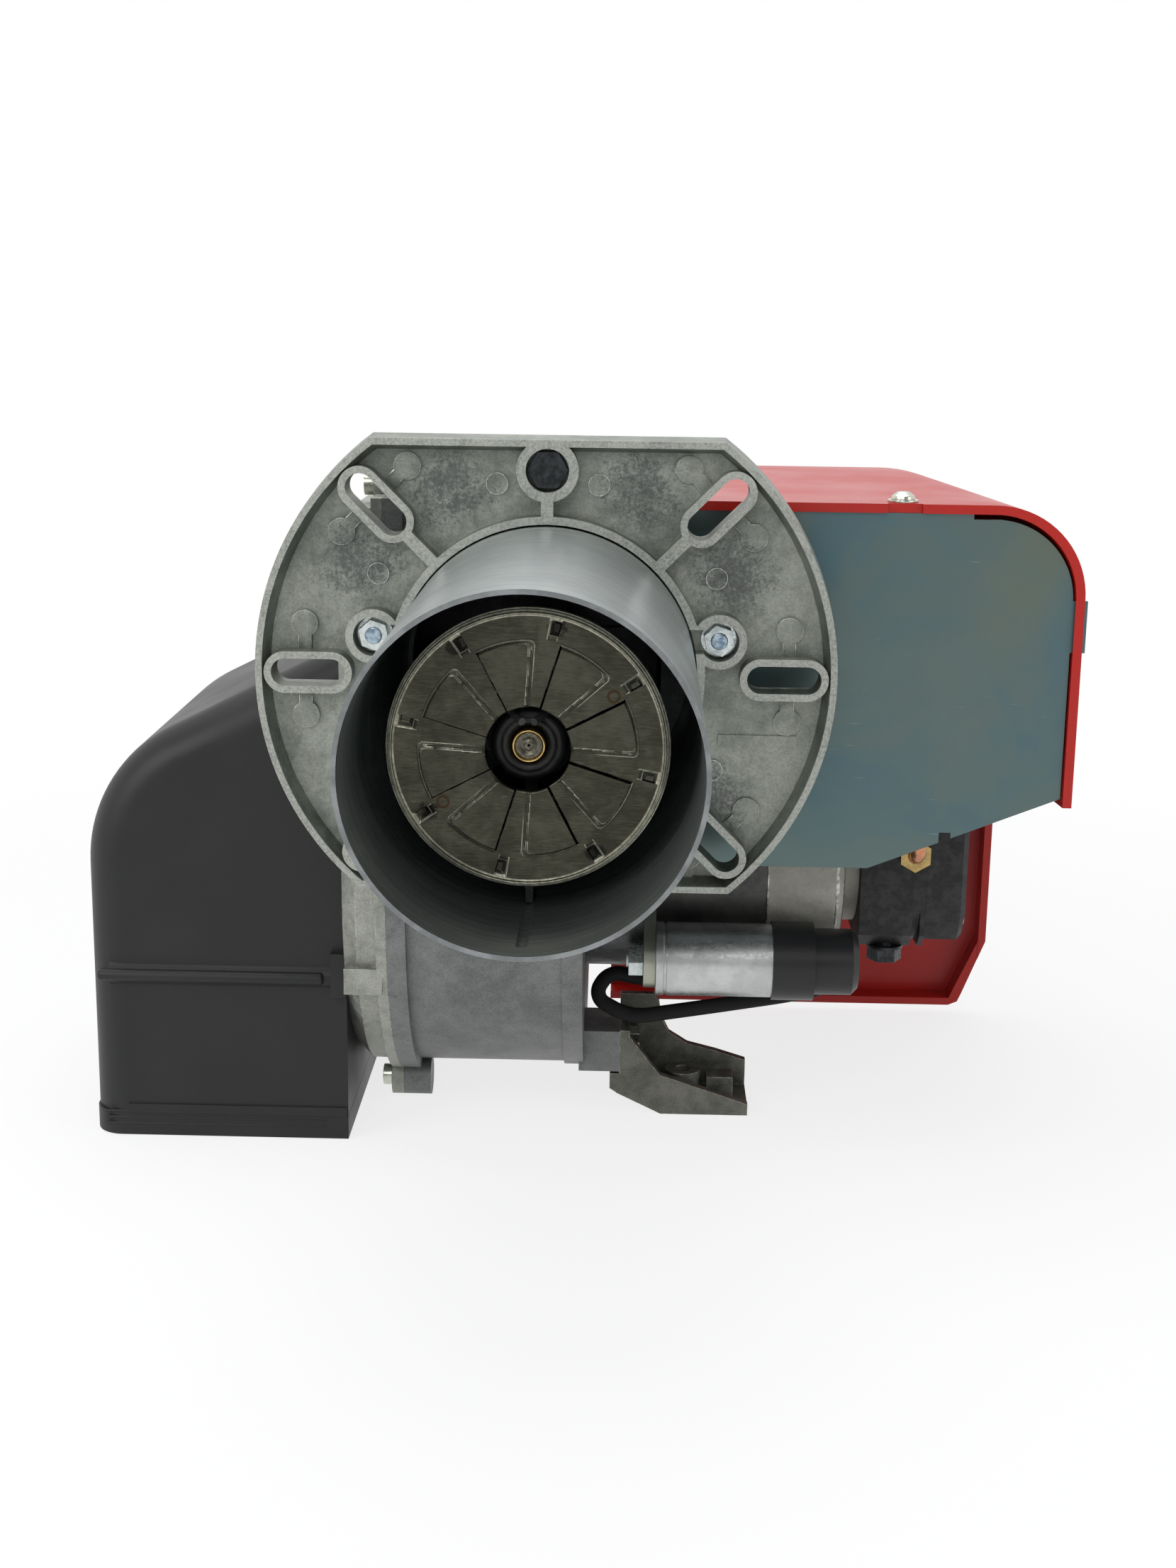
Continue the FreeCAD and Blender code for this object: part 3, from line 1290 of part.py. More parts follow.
def wedge(r0, r1, a0, a1, y0, y1):
    """A sector of a flat ring between two angles about the tube's axis."""
    ring = tube_y(r1, r0, y0, y1, 0, 0)
    span = a1 - a0
    far = r1 * 2
    p = [V(0, y0, 0)]
    for k in range(3):
        angle = math.radians(a0 + span * k / 2)
        p.append(V(far * math.cos(angle), y0, far * math.sin(angle)))
    return ring.common(prism(p, V(0, y1 - y0, 0)))


def disc_carrier():
    """The three-armed carrier between the nozzle holder and the disc, with its guide foot."""
    y0 = disc_y + 22
    pieces = [tube_y(holder_r + 4, holder_r + seat_gap, y0, y0 + 10, 0, 0)]
    for angle in arm_angles:
        pieces.append(radial_bar(angle, holder_r + 2, arm_r + 1, arm_width, y0 + 3, y0 + 5))
        pieces.append(radial_bar(angle, arm_r - 1, arm_r + 1, arm_width, disc_y + disc_t, y0 + 5))
    tube_in = tube_r - tube_wall
    pieces.append(radial_bar(270, holder_r + 2, tube_in - 2, 4, y0 + 3, y0 + 5))
    pieces.append(radial_bar(270, tube_in - 10, tube_in + bead_depth - 0.6, 2.4, y0 - 6, y0 + 12))
    return joined(pieces)


def nozzle_group():
    """Nozzle, its holder, the line behind it and the bracket that the setting screw drives."""
    tip = disc_y + 4.5
    nozzle = turned([(0, 0), (0, 2.2), (1.2, 2.2), (1.2, nozzle_r - 1.2), (2.4, nozzle_r), (6, nozzle_r),
                     (11, 8.5), (18, 8.5), (18, 5), (27, 5), (27, 0)], V(0, tip, 0), Y_AXIS)
    flats = hexagon(15, V(0, tip + 10, 0), Y_AXIS, 20)
    front = rod_y(9, tip - 1, tip + 11, 0, 0)
    rear = rod_y(5, tip + 17.9, tip + 27, 0, 0)
    nozzle = nozzle.common(joined([flats, front, rear]))
    save(nozzle, "nozzle")
    y0 = tip + 18
    y1 = y0 + 44
    holder = rod_y(holder_r, y0, y1, 0, 0).cut(rod_y(5 + seat_gap, y0 - 1, y0 + 9.05, 0, 0))
    line = rod_y(line_r, y1, throat_back + 17, 0, 0)
    clamp_y = 112.0
    clamp = rod_y(line_r + 4, clamp_y, clamp_y + 10, 0, 0)
    arm = box(-4, 4, clamp_y, clamp_y + 10, line_r + 2, screw_z)
    eye = rod_y(6.5, clamp_y, clamp_y + 10, 0, screw_z)
    thread = rod_y(screw_r + slide_gap, clamp_y - 1, clamp_y + 11, 0, screw_z)
    save(joined([holder, line, clamp, arm, eye]).cut(thread), "nozzle_line")
    knob_y = throat_back + 6 + skin_gap
    screw = turned([(clamp_y - 12, 0), (clamp_y - 12, screw_r - 0.8), (clamp_y - 11, screw_r),
                    (knob_y, screw_r), (knob_y, 9), (knob_y + 10, 9), (knob_y + 10, 0)],
                   V(0, 0, screw_z), Y_AXIS)
    flute = rod_y(2.4, knob_y + 1.5, knob_y + 11, 10.2, screw_z)
    save(screw.cut(around(flute, V(0, 0, screw_z), Y_AXIS, [60 * i for i in range(6)])), "head_screw")
    electrodes(tip)


def electrodes(tip):
    """Two ignition electrodes in porcelain sleeves, held by one clamp on the nozzle holder."""
    insulators = []
    rods = []
    x0 = 13.0
    z0 = 14.0
    front = tip + 24
    back = tip + 92
    for side in (-1, 1):
        x = side * x0
        insulators.append(tube_y(4, 1.3, front, back, x, z0))
        points = [V(x, back + 8, z0), V(x, front - 8, z0), V(side * 1.8, tip - 4.5, 8.5)]
        rods.append(swept(points, 1.2, "electrode", 6))
    save_group(insulators, "electrode_insulators")
    save_group(rods, "electrode_rods")
    y0 = tip + 42
    ring = rod_y(holder_r + 3, y0, y0 + 8, 0, 0)
    ears = [rod_y(7, y0, y0 + 8, side * x0, z0) for side in (-1, 1)]
    bridge = box(-x0, x0, y0, y0 + 8, holder_r - 2, z0 + 4)
    cuts = [rod_y(holder_r + seat_gap, y0 - 1, y0 + 9, 0, 0)]
    cuts += [rod_y(4 + seat_gap, y0 - 1, y0 + 9, side * x0, z0) for side in (-1, 1)]
    save(joined([ring, bridge] + ears).cut(cuts), "electrode_clamp")


def main():
    """Builds and writes every sub-part."""
    save(mounting_flange(), "mounting_flange")
    flange_fasteners()
    save(blast_tube(), "blast_tube")
    save(casing_right(), "casing_right")
    save(casing_left_cover(), "casing_left")
    save_group(casing_screws(), "casing_screws")
    save_group(pan_screws(), "pan_head_screws")
    save(rear_cover(), "rear_cover")
    save(photocell(), "photocell")
    save(fan_wheel(), "fan_wheel")
    motor()
    pump_drive()
    oil_pump()
    save(oil_pipe(), "oil_pipe")
    save_group(pipe_unions(), "pipe_unions")
    capacitor()
    save(air_box(), "air_box")
    save(air_box_base(), "air_box_base")
    damper()
    save(foot_bracket(), "foot_bracket")
    save_group(foot_screws(), "foot_screws")
    save(hood(), "hood")
    save(hood_plate(), "hood_plate")
    save(shelf(), "electrical_shelf")
    hood_screw()
    electrical()
    save(diffuser_disc(), "diffuser_disc")
    save(disc_carrier(), "disc_carrier")
    nozzle_group()


main()
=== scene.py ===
"""The looks of a diesel burner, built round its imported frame.

The burner is a blast tube with a swirl disc in a slotted boiler flange, a cast fan casing with a black
inlet box, a motor with an oil pump on its far end, and a red hood behind a zinc-plated front plate.
"""

import logging
import math
from dataclasses import dataclass, field
from enum import Enum
from typing import Callable, Optional, Sequence

import bpy
from mathutils import Matrix, Vector


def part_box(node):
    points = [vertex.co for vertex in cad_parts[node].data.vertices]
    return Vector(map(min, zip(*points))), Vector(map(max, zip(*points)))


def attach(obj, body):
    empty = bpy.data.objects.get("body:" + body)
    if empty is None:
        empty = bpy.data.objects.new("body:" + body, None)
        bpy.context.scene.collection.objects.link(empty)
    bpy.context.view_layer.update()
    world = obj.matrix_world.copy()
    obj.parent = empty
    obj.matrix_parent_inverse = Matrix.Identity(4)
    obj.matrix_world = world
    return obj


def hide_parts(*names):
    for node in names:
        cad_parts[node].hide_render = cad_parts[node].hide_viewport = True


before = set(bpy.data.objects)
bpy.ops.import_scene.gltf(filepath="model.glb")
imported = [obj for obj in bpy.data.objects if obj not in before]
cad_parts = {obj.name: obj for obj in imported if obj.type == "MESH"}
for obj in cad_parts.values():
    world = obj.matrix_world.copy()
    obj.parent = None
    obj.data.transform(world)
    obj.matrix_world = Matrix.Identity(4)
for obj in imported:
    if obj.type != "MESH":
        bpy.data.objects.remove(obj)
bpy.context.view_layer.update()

log = logging.getLogger("diesel_burner")

MM = 0.001
Colour = tuple[float, float, float]
Socket = bpy.types.NodeSocket
Piece = bpy.types.Object


class Slot(Enum):
    """The record's material slots."""

    FLANGE = "flange_casting"
    TUBE = "tube_steel"
    DISC = "disc_steel"
    CASING = "casing_casting"
    MOTOR_CAST = "motor_casting"
    DARK_STEEL = "dark_steel"
    PUMP = "pump_casting"
    BLACK_PLASTIC = "black_plastic"
    HOOD = "hood_plastic"
    ZINC_PLATE = "zinc_plate"
    ZINC_FASTENER = "fastener_zinc"
    BLACK_FASTENER = "fastener_black"
    COPPER = "copper"
    BRASS = "brass"
    PORCELAIN = "porcelain"
    CAN = "can_aluminium"
    RUBBER = "black_rubber"
    WINDING = "copper_winding"
    BRIGHT_STEEL = "bright_steel"
    GREY_PLASTIC = "grey_plastic"


class Body(Enum):
    """The bodies that the pieces ride on."""

    BURNER = "burner_body"
    ROTOR = "rotor"
    DAMPER = "air_damper"
    HEAD = "combustion_head"
    SETTING_SCREW = "head_setting_screw"
    RESET = "reset_button"


class Shader:
    """A procedural material while its nodes are put together."""

    def __init__(self, name: str) -> None:
        """Starts an empty material.

        Args:
            name: The material's name.
        """
        self.material = bpy.data.materials.new(name)
        self.material.use_nodes = True
        self.tree = self.material.node_tree
        self.tree.nodes.clear()
        coords = self.tree.nodes.new("ShaderNodeTexCoord")
        self.object_coords: Socket = coords.outputs["Object"]

    def add(self, kind: str, **settings: object) -> bpy.types.Node:
        """Adds a node and sets its plain properties.

        Args:
            kind: The node's type.
            settings: Properties by name.

        Returns:
            The new node.
        """
        node = self.tree.nodes.new(kind)
        for name, value in settings.items():
            setattr(node, name, value)
        return node

    def feed(self, socket: Socket, value: object) -> None:
        """Links a socket to another, or sets its value.

        Args:
            socket: The input.
            value: An output socket, a number or a colour.
        """
        if isinstance(value, bpy.types.NodeSocket):
            self.tree.links.new(value, socket)
        elif isinstance(value, tuple) and len(value) == 3 and socket.type == "RGBA":
            socket.default_value = (*value, 1.0)
        else:
            socket.default_value = value

    def stretched(self, scale: tuple[float, float, float], turn: tuple[float, float, float] = (0, 0, 0)) -> Socket:
        """Object coordinates scaled and turned.

        Args:
            scale: Scale along each axis.
            turn: Rotation in degrees.

        Returns:
            The mapped vector.
        """
        node = self.add("ShaderNodeMapping")
        self.feed(node.inputs["Vector"], self.object_coords)
        node.inputs["Scale"].default_value = scale
        node.inputs["Rotation"].default_value = tuple(math.radians(a) for a in turn)
        return node.outputs["Vector"]

    def noise(self, scale: float, detail: float = 3.0, rough: float = 0.55, vector: Optional[Socket] = None,
              distortion: float = 0.0) -> Socket:
        """A cloud pattern from 0 to 1.

        Args:
            scale: Cells per metre.
            detail: Octaves.
            rough: How strong the fine octaves are.
            vector: Coordinates, or None for object coordinates.
            distortion: How much the pattern is warped.

        Returns:
            The pattern's value.
        """
        node = self.add("ShaderNodeTexNoise")
        self.feed(node.inputs["Vector"], vector or self.object_coords)
        node.inputs["Scale"].default_value = scale
        node.inputs["Detail"].default_value = detail
        node.inputs["Roughness"].default_value = rough
        node.inputs["Distortion"].default_value = distortion
        return node.outputs["Fac"]

    def cells(self, scale: float, feature: str = "F1", vector: Optional[Socket] = None,
              output: str = "Distance") -> Socket:
        """A cell pattern.

        Args:
            scale: Cells per metre.
            feature: Which distance the cells give.
            vector: Coordinates, or None for object coordinates.
            output: The output to read.

        Returns:
            The pattern's value.
        """
        node = self.add("ShaderNodeTexVoronoi", feature=feature)
        self.feed(node.inputs["Vector"], vector or self.object_coords)
        node.inputs["Scale"].default_value = scale
        return node.outputs[output]

    def span(self, value: Socket, low: float, high: float, to_low: float = 0.0, to_high: float = 1.0) -> Socket:
        """Maps a range smoothly to another and holds it at both ends.

        Args:
            value: The input.
            low: Where the output starts to change.
            high: Where it stops.
            to_low: Output at low.
            to_high: Output at high.

        Returns:
            The mapped value.
        """
        node = self.add("ShaderNodeMapRange", interpolation_type="SMOOTHSTEP")
        self.feed(node.inputs["Value"], value)
        for name, number in (("From Min", low), ("From Max", high), ("To Min", to_low), ("To Max", to_high)):
            node.inputs[name].default_value = number
        return node.outputs["Result"]

    def math(self, operation: str, a: object, b: object = 0.0) -> Socket:
        """One sum of two numbers.

        Args:
            operation: The operation's name.
            a: First number or socket.
            b: Second number or socket.

        Returns:
            The result.
        """
        node = self.add("ShaderNodeMath", operation=operation)
        self.feed(node.inputs[0], a)
        self.feed(node.inputs[1], b)
        return node.outputs[0]

    def blend(self, share: object, a: object, b: object, way: str = "MIX") -> Socket:
        """Mixes two colours.

        Args:
            share: How much of b.
            a: First colour.
            b: Second colour.
            way: The blend mode.

        Returns:
            The mixed colour.
        """
        node = self.add("ShaderNodeMix", data_type="RGBA", blend_type=way)
        self.feed(node.inputs[0], share)
        self.feed(node.inputs[6], a)
        self.feed(node.inputs[7], b)
        return node.outputs[2]

    def place(self, axis: str) -> Socket:
        """One object coordinate in metres.

        Args:
            axis: X, Y or Z.

        Returns:
            The coordinate.
        """
        node = self.add("ShaderNodeSeparateXYZ")
        self.feed(node.inputs[0], self.object_coords)
        return node.outputs[axis]

    def distance(self, point: tuple[float, float, float]) -> Socket:
        """Distance from a point of the object's frame, in metres.

        Args:
            point: The point.

        Returns:
            The distance.
        """
        node = self.add("ShaderNodeVectorMath", operation="DISTANCE")
        self.feed(node.inputs[0], self.object_coords)
        node.inputs[1].default_value = point
        return node.outputs["Value"]

    def bump(self, height: Socket, depth: float, before: Optional[Socket] = None) -> Socket:
        """A relief on the surface.

        Args:
            height: The relief from 0 to 1.
            depth: Its depth in metres.
            before: A relief that this one is added to.

        Returns:
            The normal.
        """
        node = self.add("ShaderNodeBump")
        node.inputs["Strength"].default_value = 1.0
        node.inputs["Distance"].default_value = depth
        self.feed(node.inputs["Height"], height)
        if before is not None:
            self.feed(node.inputs["Normal"], before)
        return node.outputs["Normal"]

    def finish(self, colour: object, rough: object, metal: float = 0.0, normal: Optional[Socket] = None,
               **constants: float) -> bpy.types.Material:
        """Closes the material with its surface shader.

        Args:
            colour: Base colour.
            rough: Roughness.
            metal: How metallic the surface is.
            normal: The relief, if any.
            constants: Further inputs by name, with underscores for spaces.

        Returns:
            The finished material.
        """
        surface = self.add("ShaderNodeBsdfPrincipled")
        self.feed(surface.inputs["Base Color"], colour)
        self.feed(surface.inputs["Roughness"], rough)
        surface.inputs["Metallic"].default_value = metal
        for name, value in constants.items():
            surface.inputs[name.replace("_", " ")].default_value = value
        if normal is not None:
            self.feed(surface.inputs["Normal"], normal)
        output = self.add("ShaderNodeOutputMaterial")
        self.tree.links.new(surface.outputs[0], output.inputs["Surface"])
        return self.material


@dataclass(frozen=True)
class Casting:
    """Die-cast or sand-cast aluminium with a grained skin, cloudy tone and worn high spots."""

    name: str
    dark: Colour
    light: Colour
    rough: float = 0.5
    metal: float = 0.75
    grain: float = 1500.0
    relief: float = 0.00010
    stains: tuple[tuple[float, float, float], ...] = ()
    stain_size: float = 0.023
    stain: Colour = (0.07, 0.075, 0.078)
    worn_front: Optional[float] = None
    worn: Colour = (0.52, 0.53, 0.49)

    def material(self) -> bpy.types.Material:
        """Builds the casting's material.

        Returns:
            The material.
        """
        s = Shader(self.name)
        clouds = s.noise(38.0, 5.0, 0.6, distortion=0.4)
        patches = s.noise(210.0, 4.0, 0.6)
        grain = s.noise(self.grain, 3.0, 0.7)
        tone = s.math("ADD", s.math("MULTIPLY", clouds, 0.55), s.math("MULTIPLY", patches, 0.45))
        colour = s.blend(s.span(tone, 0.36, 0.64), self.dark, self.light)
        colour = s.blend(s.span(grain, 0.35, 0.62, 0.30, 0.0), colour, self.dark, "MULTIPLY")
        for point in self.stains:
            near = s.span(s.distance(point), self.stain_size * 0.2, self.stain_size, 1.0, 0.0)
            wide = s.math("MULTIPLY", s.noise(70.0, 3.0, 0.6, distortion=1.0), 0.30)
            marks = s.math("ADD", s.noise(560.0, 8.0, 0.85), s.math("ADD", s.math("MULTIPLY", near, 0.16), wide))
            blots = s.math("MULTIPLY", s.span(marks, 0.72, 0.86), s.span(near, 0.0, 0.25))
            colour = s.blend(s.math("MULTIPLY", blots, 0.72), colour, self.stain)
        specks = s.span(s.cells(420.0), 0.035, 0.075, 1.0, 0.0)
        specks = s.math("MULTIPLY", specks, s.span(s.noise(60.0), 0.52, 0.62))
        colour = s.blend(s.math("MULTIPLY", specks, 0.6), colour, self.stain)
        rough = s.span(patches, 0.3, 0.7, self.rough - 0.08, self.rough + 0.10)
        if self.worn_front is not None:
            front = s.span(s.place("Y"), self.worn_front, self.worn_front + 0.0012, 1.0, 0.0)
            scuffs = s.span(s.noise(900.0, 5.0, 0.8), 0.38, 0.62)
            edge = s.math("MULTIPLY", front, s.math("ADD", s.math("MULTIPLY", scuffs, 0.65), 0.10))
            colour = s.blend(edge, colour, self.worn)
        height = s.math("ADD", grain, s.math("MULTIPLY", patches, 1.6))
        return s.finish(colour, rough, self.metal, s.bump(height, self.relief))


@dataclass(frozen=True)
class TurnedSteel:
    """Sheet or bar steel with fine lines that run round an axis or along it."""

    name: str
    dark: Colour
    light: Colour
    lines: tuple[float, float, float]
    rough: float = 0.30
    metal: float = 0.9
    relief: float = 0.000012
    cloud: float = 30.0
    anisotropy: float = 0.0

    def material(self) -> bpy.types.Material:
        """Builds the brushed material.

        Returns:
            The material.
        """
        s = Shader(self.name)
        fine = s.noise(1.0, 4.0, 0.65, s.stretched(self.lines))
        coarse = s.noise(0.22, 3.0, 0.6, s.stretched(self.lines))
        clouds = s.noise(self.cloud, 4.0, 0.55)
        tone = s.math("ADD", s.math("MULTIPLY", fine, 0.4), s.math("MULTIPLY", coarse, 0.3))
        tone = s.math("ADD", tone, s.math("MULTIPLY", clouds, 0.3))
        colour = s.blend(s.span(tone, 0.36, 0.64), self.dark, self.light)
        rough = s.span(tone, 0.3, 0.7, self.rough + 0.10, self.rough - 0.05)
        normal = s.bump(s.math("ADD", fine, coarse), self.relief)
        return s.finish(colour, rough, self.metal, normal, Anisotropic=self.anisotropy)


@dataclass(frozen=True)
class Moulded:
    """Moulded plastic with a fine spark-eroded skin and faint handling marks."""

    name: str
    colour: Colour
    rough: float = 0.42
    grain: float = 4200.0
    relief: float = 0.00003
    coat: float = 0.0
    fade: float = 0.12
    dust: float = 0.0
    gloss: float = 0.5

    def material(self) -> bpy.types.Material:
        """Builds the moulded material.

        Returns:
            The material.
        """
        s = Shader(self.name)
        skin = s.noise(self.grain, 2.0, 0.6)
        clouds = s.noise(24.0, 4.0, 0.5)
        faded = tuple(c + (0.35 - c) * self.fade for c in self.colour)
        colour = s.blend(s.span(clouds, 0.35, 0.70, 0.0, 0.5), self.colour, faded)
        if self.dust:
            motes = s.span(s.cells(900.0), 0.02, 0.06, 1.0, 0.0)
            motes = s.math("MULTIPLY", motes, s.span(s.noise(90.0), 0.55, 0.66))
            colour = s.blend(s.math("MULTIPLY", motes, self.dust), colour, (0.5, 0.5, 0.48))
        rough = s.span(clouds, 0.3, 0.7, self.rough - 0.04, self.rough + 0.06)
        return s.finish(colour, rough, 0.0, s.bump(skin, self.relief), Coat_Weight=self.coat, Coat_Roughness=0.12,
                        Specular_IOR_Level=self.gloss)


@dataclass(frozen=True)
class ZincSheet:
    """Zinc-plated sheet: rolled grain, a yellow and blue chromate tint, and fine scratches."""

    name: str
    base: Colour = (0.40, 0.45, 0.45)
    blue: Colour = (0.26, 0.34, 0.40)
    yellow: Colour = (0.46, 0.45, 0.33)
    rough: float = 0.34
    metal: float = 0.85

    def material(self) -> bpy.types.Material:
        """Builds the plated material.

        Returns:
            The material.
        """
        s = Shader(self.name)
        tint = s.noise(16.0, 4.0, 0.6, distortion=0.8)
        other = s.noise(9.0, 3.0, 0.5)
        grain = s.noise(1.0, 3.0, 0.6, s.stretched((1400.0, 1400.0, 500.0)))
        colour = s.blend(s.span(tint, 0.46, 0.66), self.base, self.blue)
        colour = s.blend(s.span(other, 0.50, 0.68, 0.0, 0.75), colour, self.yellow)
        colour = s.blend(s.span(grain, 0.30, 0.70, 0.12, 0.0), colour, (0.12, 0.14, 0.15))
        marks = None
        for angle, scale in ((23.0, 1.0), (-48.0, 1.3), (81.0, 0.8)):
            line = s.cells(1.0, "F1", s.stretched((32.0 * scale, 32.0 * scale, 1700.0 * scale), (0, angle, 0)))
            thin = s.span(line, 0.045, 0.09, 1.0, 0.0)
            sparse = s.math("MULTIPLY", thin, s.span(s.noise(26.0 * scale), 0.56, 0.64))
            marks = sparse if marks is None else s.math("MAXIMUM", marks, sparse)
        colour = s.blend(s.math("MULTIPLY", marks, 0.55), colour, (0.72, 0.76, 0.74))
        rough = s.span(tint, 0.3, 0.7, self.rough - 0.06, self.rough + 0.08)
        normal = s.bump(s.math("SUBTRACT", grain, marks), 0.000008)
        return s.finish(colour, rough, self.metal, normal)


@dataclass(frozen=True)
class Plain:
    """A small fitting's finish: one tone with cloudy wear and a fine relief."""

    name: str
    colour: Colour
    worn: Colour
    rough: float = 0.3
    metal: float = 1.0
    scale: float = 320.0
    relief: float = 0.00001
    coat: float = 0.0

    def material(self) -> bpy.types.Material:
        """Builds the fitting's material.

        Returns:
            The material.
        """
        s = Shader(self.name)
        clouds = s.noise(self.scale, 5.0, 0.65)
        fine = s.noise(self.scale * 9.0, 2.0, 0.6)
        colour = s.blend(s.span(clouds, 0.38, 0.64), self.colour, self.worn)
        rough = s.span(fine, 0.3, 0.7, self.rough - 0.06, self.rough + 0.12)
        return s.finish(colour, rough, self.metal, s.bump(fine, self.relief), Coat_Weight=self.coat)


@dataclass(frozen=True)
class PressedSteel:
    """Rolled sheet browned by heat, with spot-weld rings, dark smudges and light scuffs."""

    name: str
    dark: Colour
    light: Colour
    welds: tuple[tuple[float, float, float], ...]
    smudges: tuple[tuple[float, float, float], ...]
    heat: Colour = (0.045, 0.026, 0.012)
    scuff: Colour = (0.36, 0.35, 0.30)
    rough: float = 0.27

    def material(self) -> bpy.types.Material:
        """Builds the sheet's material.

        Returns:
            The material.
        """
        s = Shader(self.name)
        clouds = s.noise(75.0, 5.0, 0.6, distortion=0.5)
        rolled = s.noise(1.0, 4.0, 0.65, s.stretched((260.0, 260.0, 2400.0), (0.0, 12.0, 0.0)))
        tone = s.math("ADD", s.math("MULTIPLY", clouds, 0.6), s.math("MULTIPLY", rolled, 0.4))
        colour = s.blend(s.span(tone, 0.38, 0.62), self.dark, self.light)
        for point in self.smudges:
            near = s.span(s.distance(point), 0.0012, 0.0062, 1.0, 0.0)
            blot = s.span(s.math("MULTIPLY", s.noise(520.0, 6.0, 0.75), near), 0.30, 0.46)
            colour = s.blend(s.math("MULTIPLY", blot, 0.8), colour, (0.012, 0.011, 0.010))
        for point in self.welds:
            away = s.distance(point)
            ring = s.span(s.math("ABSOLUTE", s.math("SUBTRACT", away, 0.0017)), 0.00015, 0.00060, 1.0, 0.0)
            colour = s.blend(s.math("MULTIPLY", ring, 0.85), colour, self.heat)
        line = s.cells(1.0, "F1", s.stretched((60.0, 60.0, 1900.0), (0.0, -34.0, 0.0)))
        marks = s.math("MULTIPLY", s.span(line, 0.05, 0.10, 1.0, 0.0), s.span(s.noise(95.0), 0.54, 0.62))
        colour = s.blend(s.math("MULTIPLY", marks, 0.6), colour, self.scuff)
        rough = s.span(tone, 0.3, 0.7, self.rough + 0.10, self.rough - 0.04)
        normal = s.bump(s.math("ADD", rolled, marks), 0.000010)
        return s.finish(colour, rough, 1.0, normal)


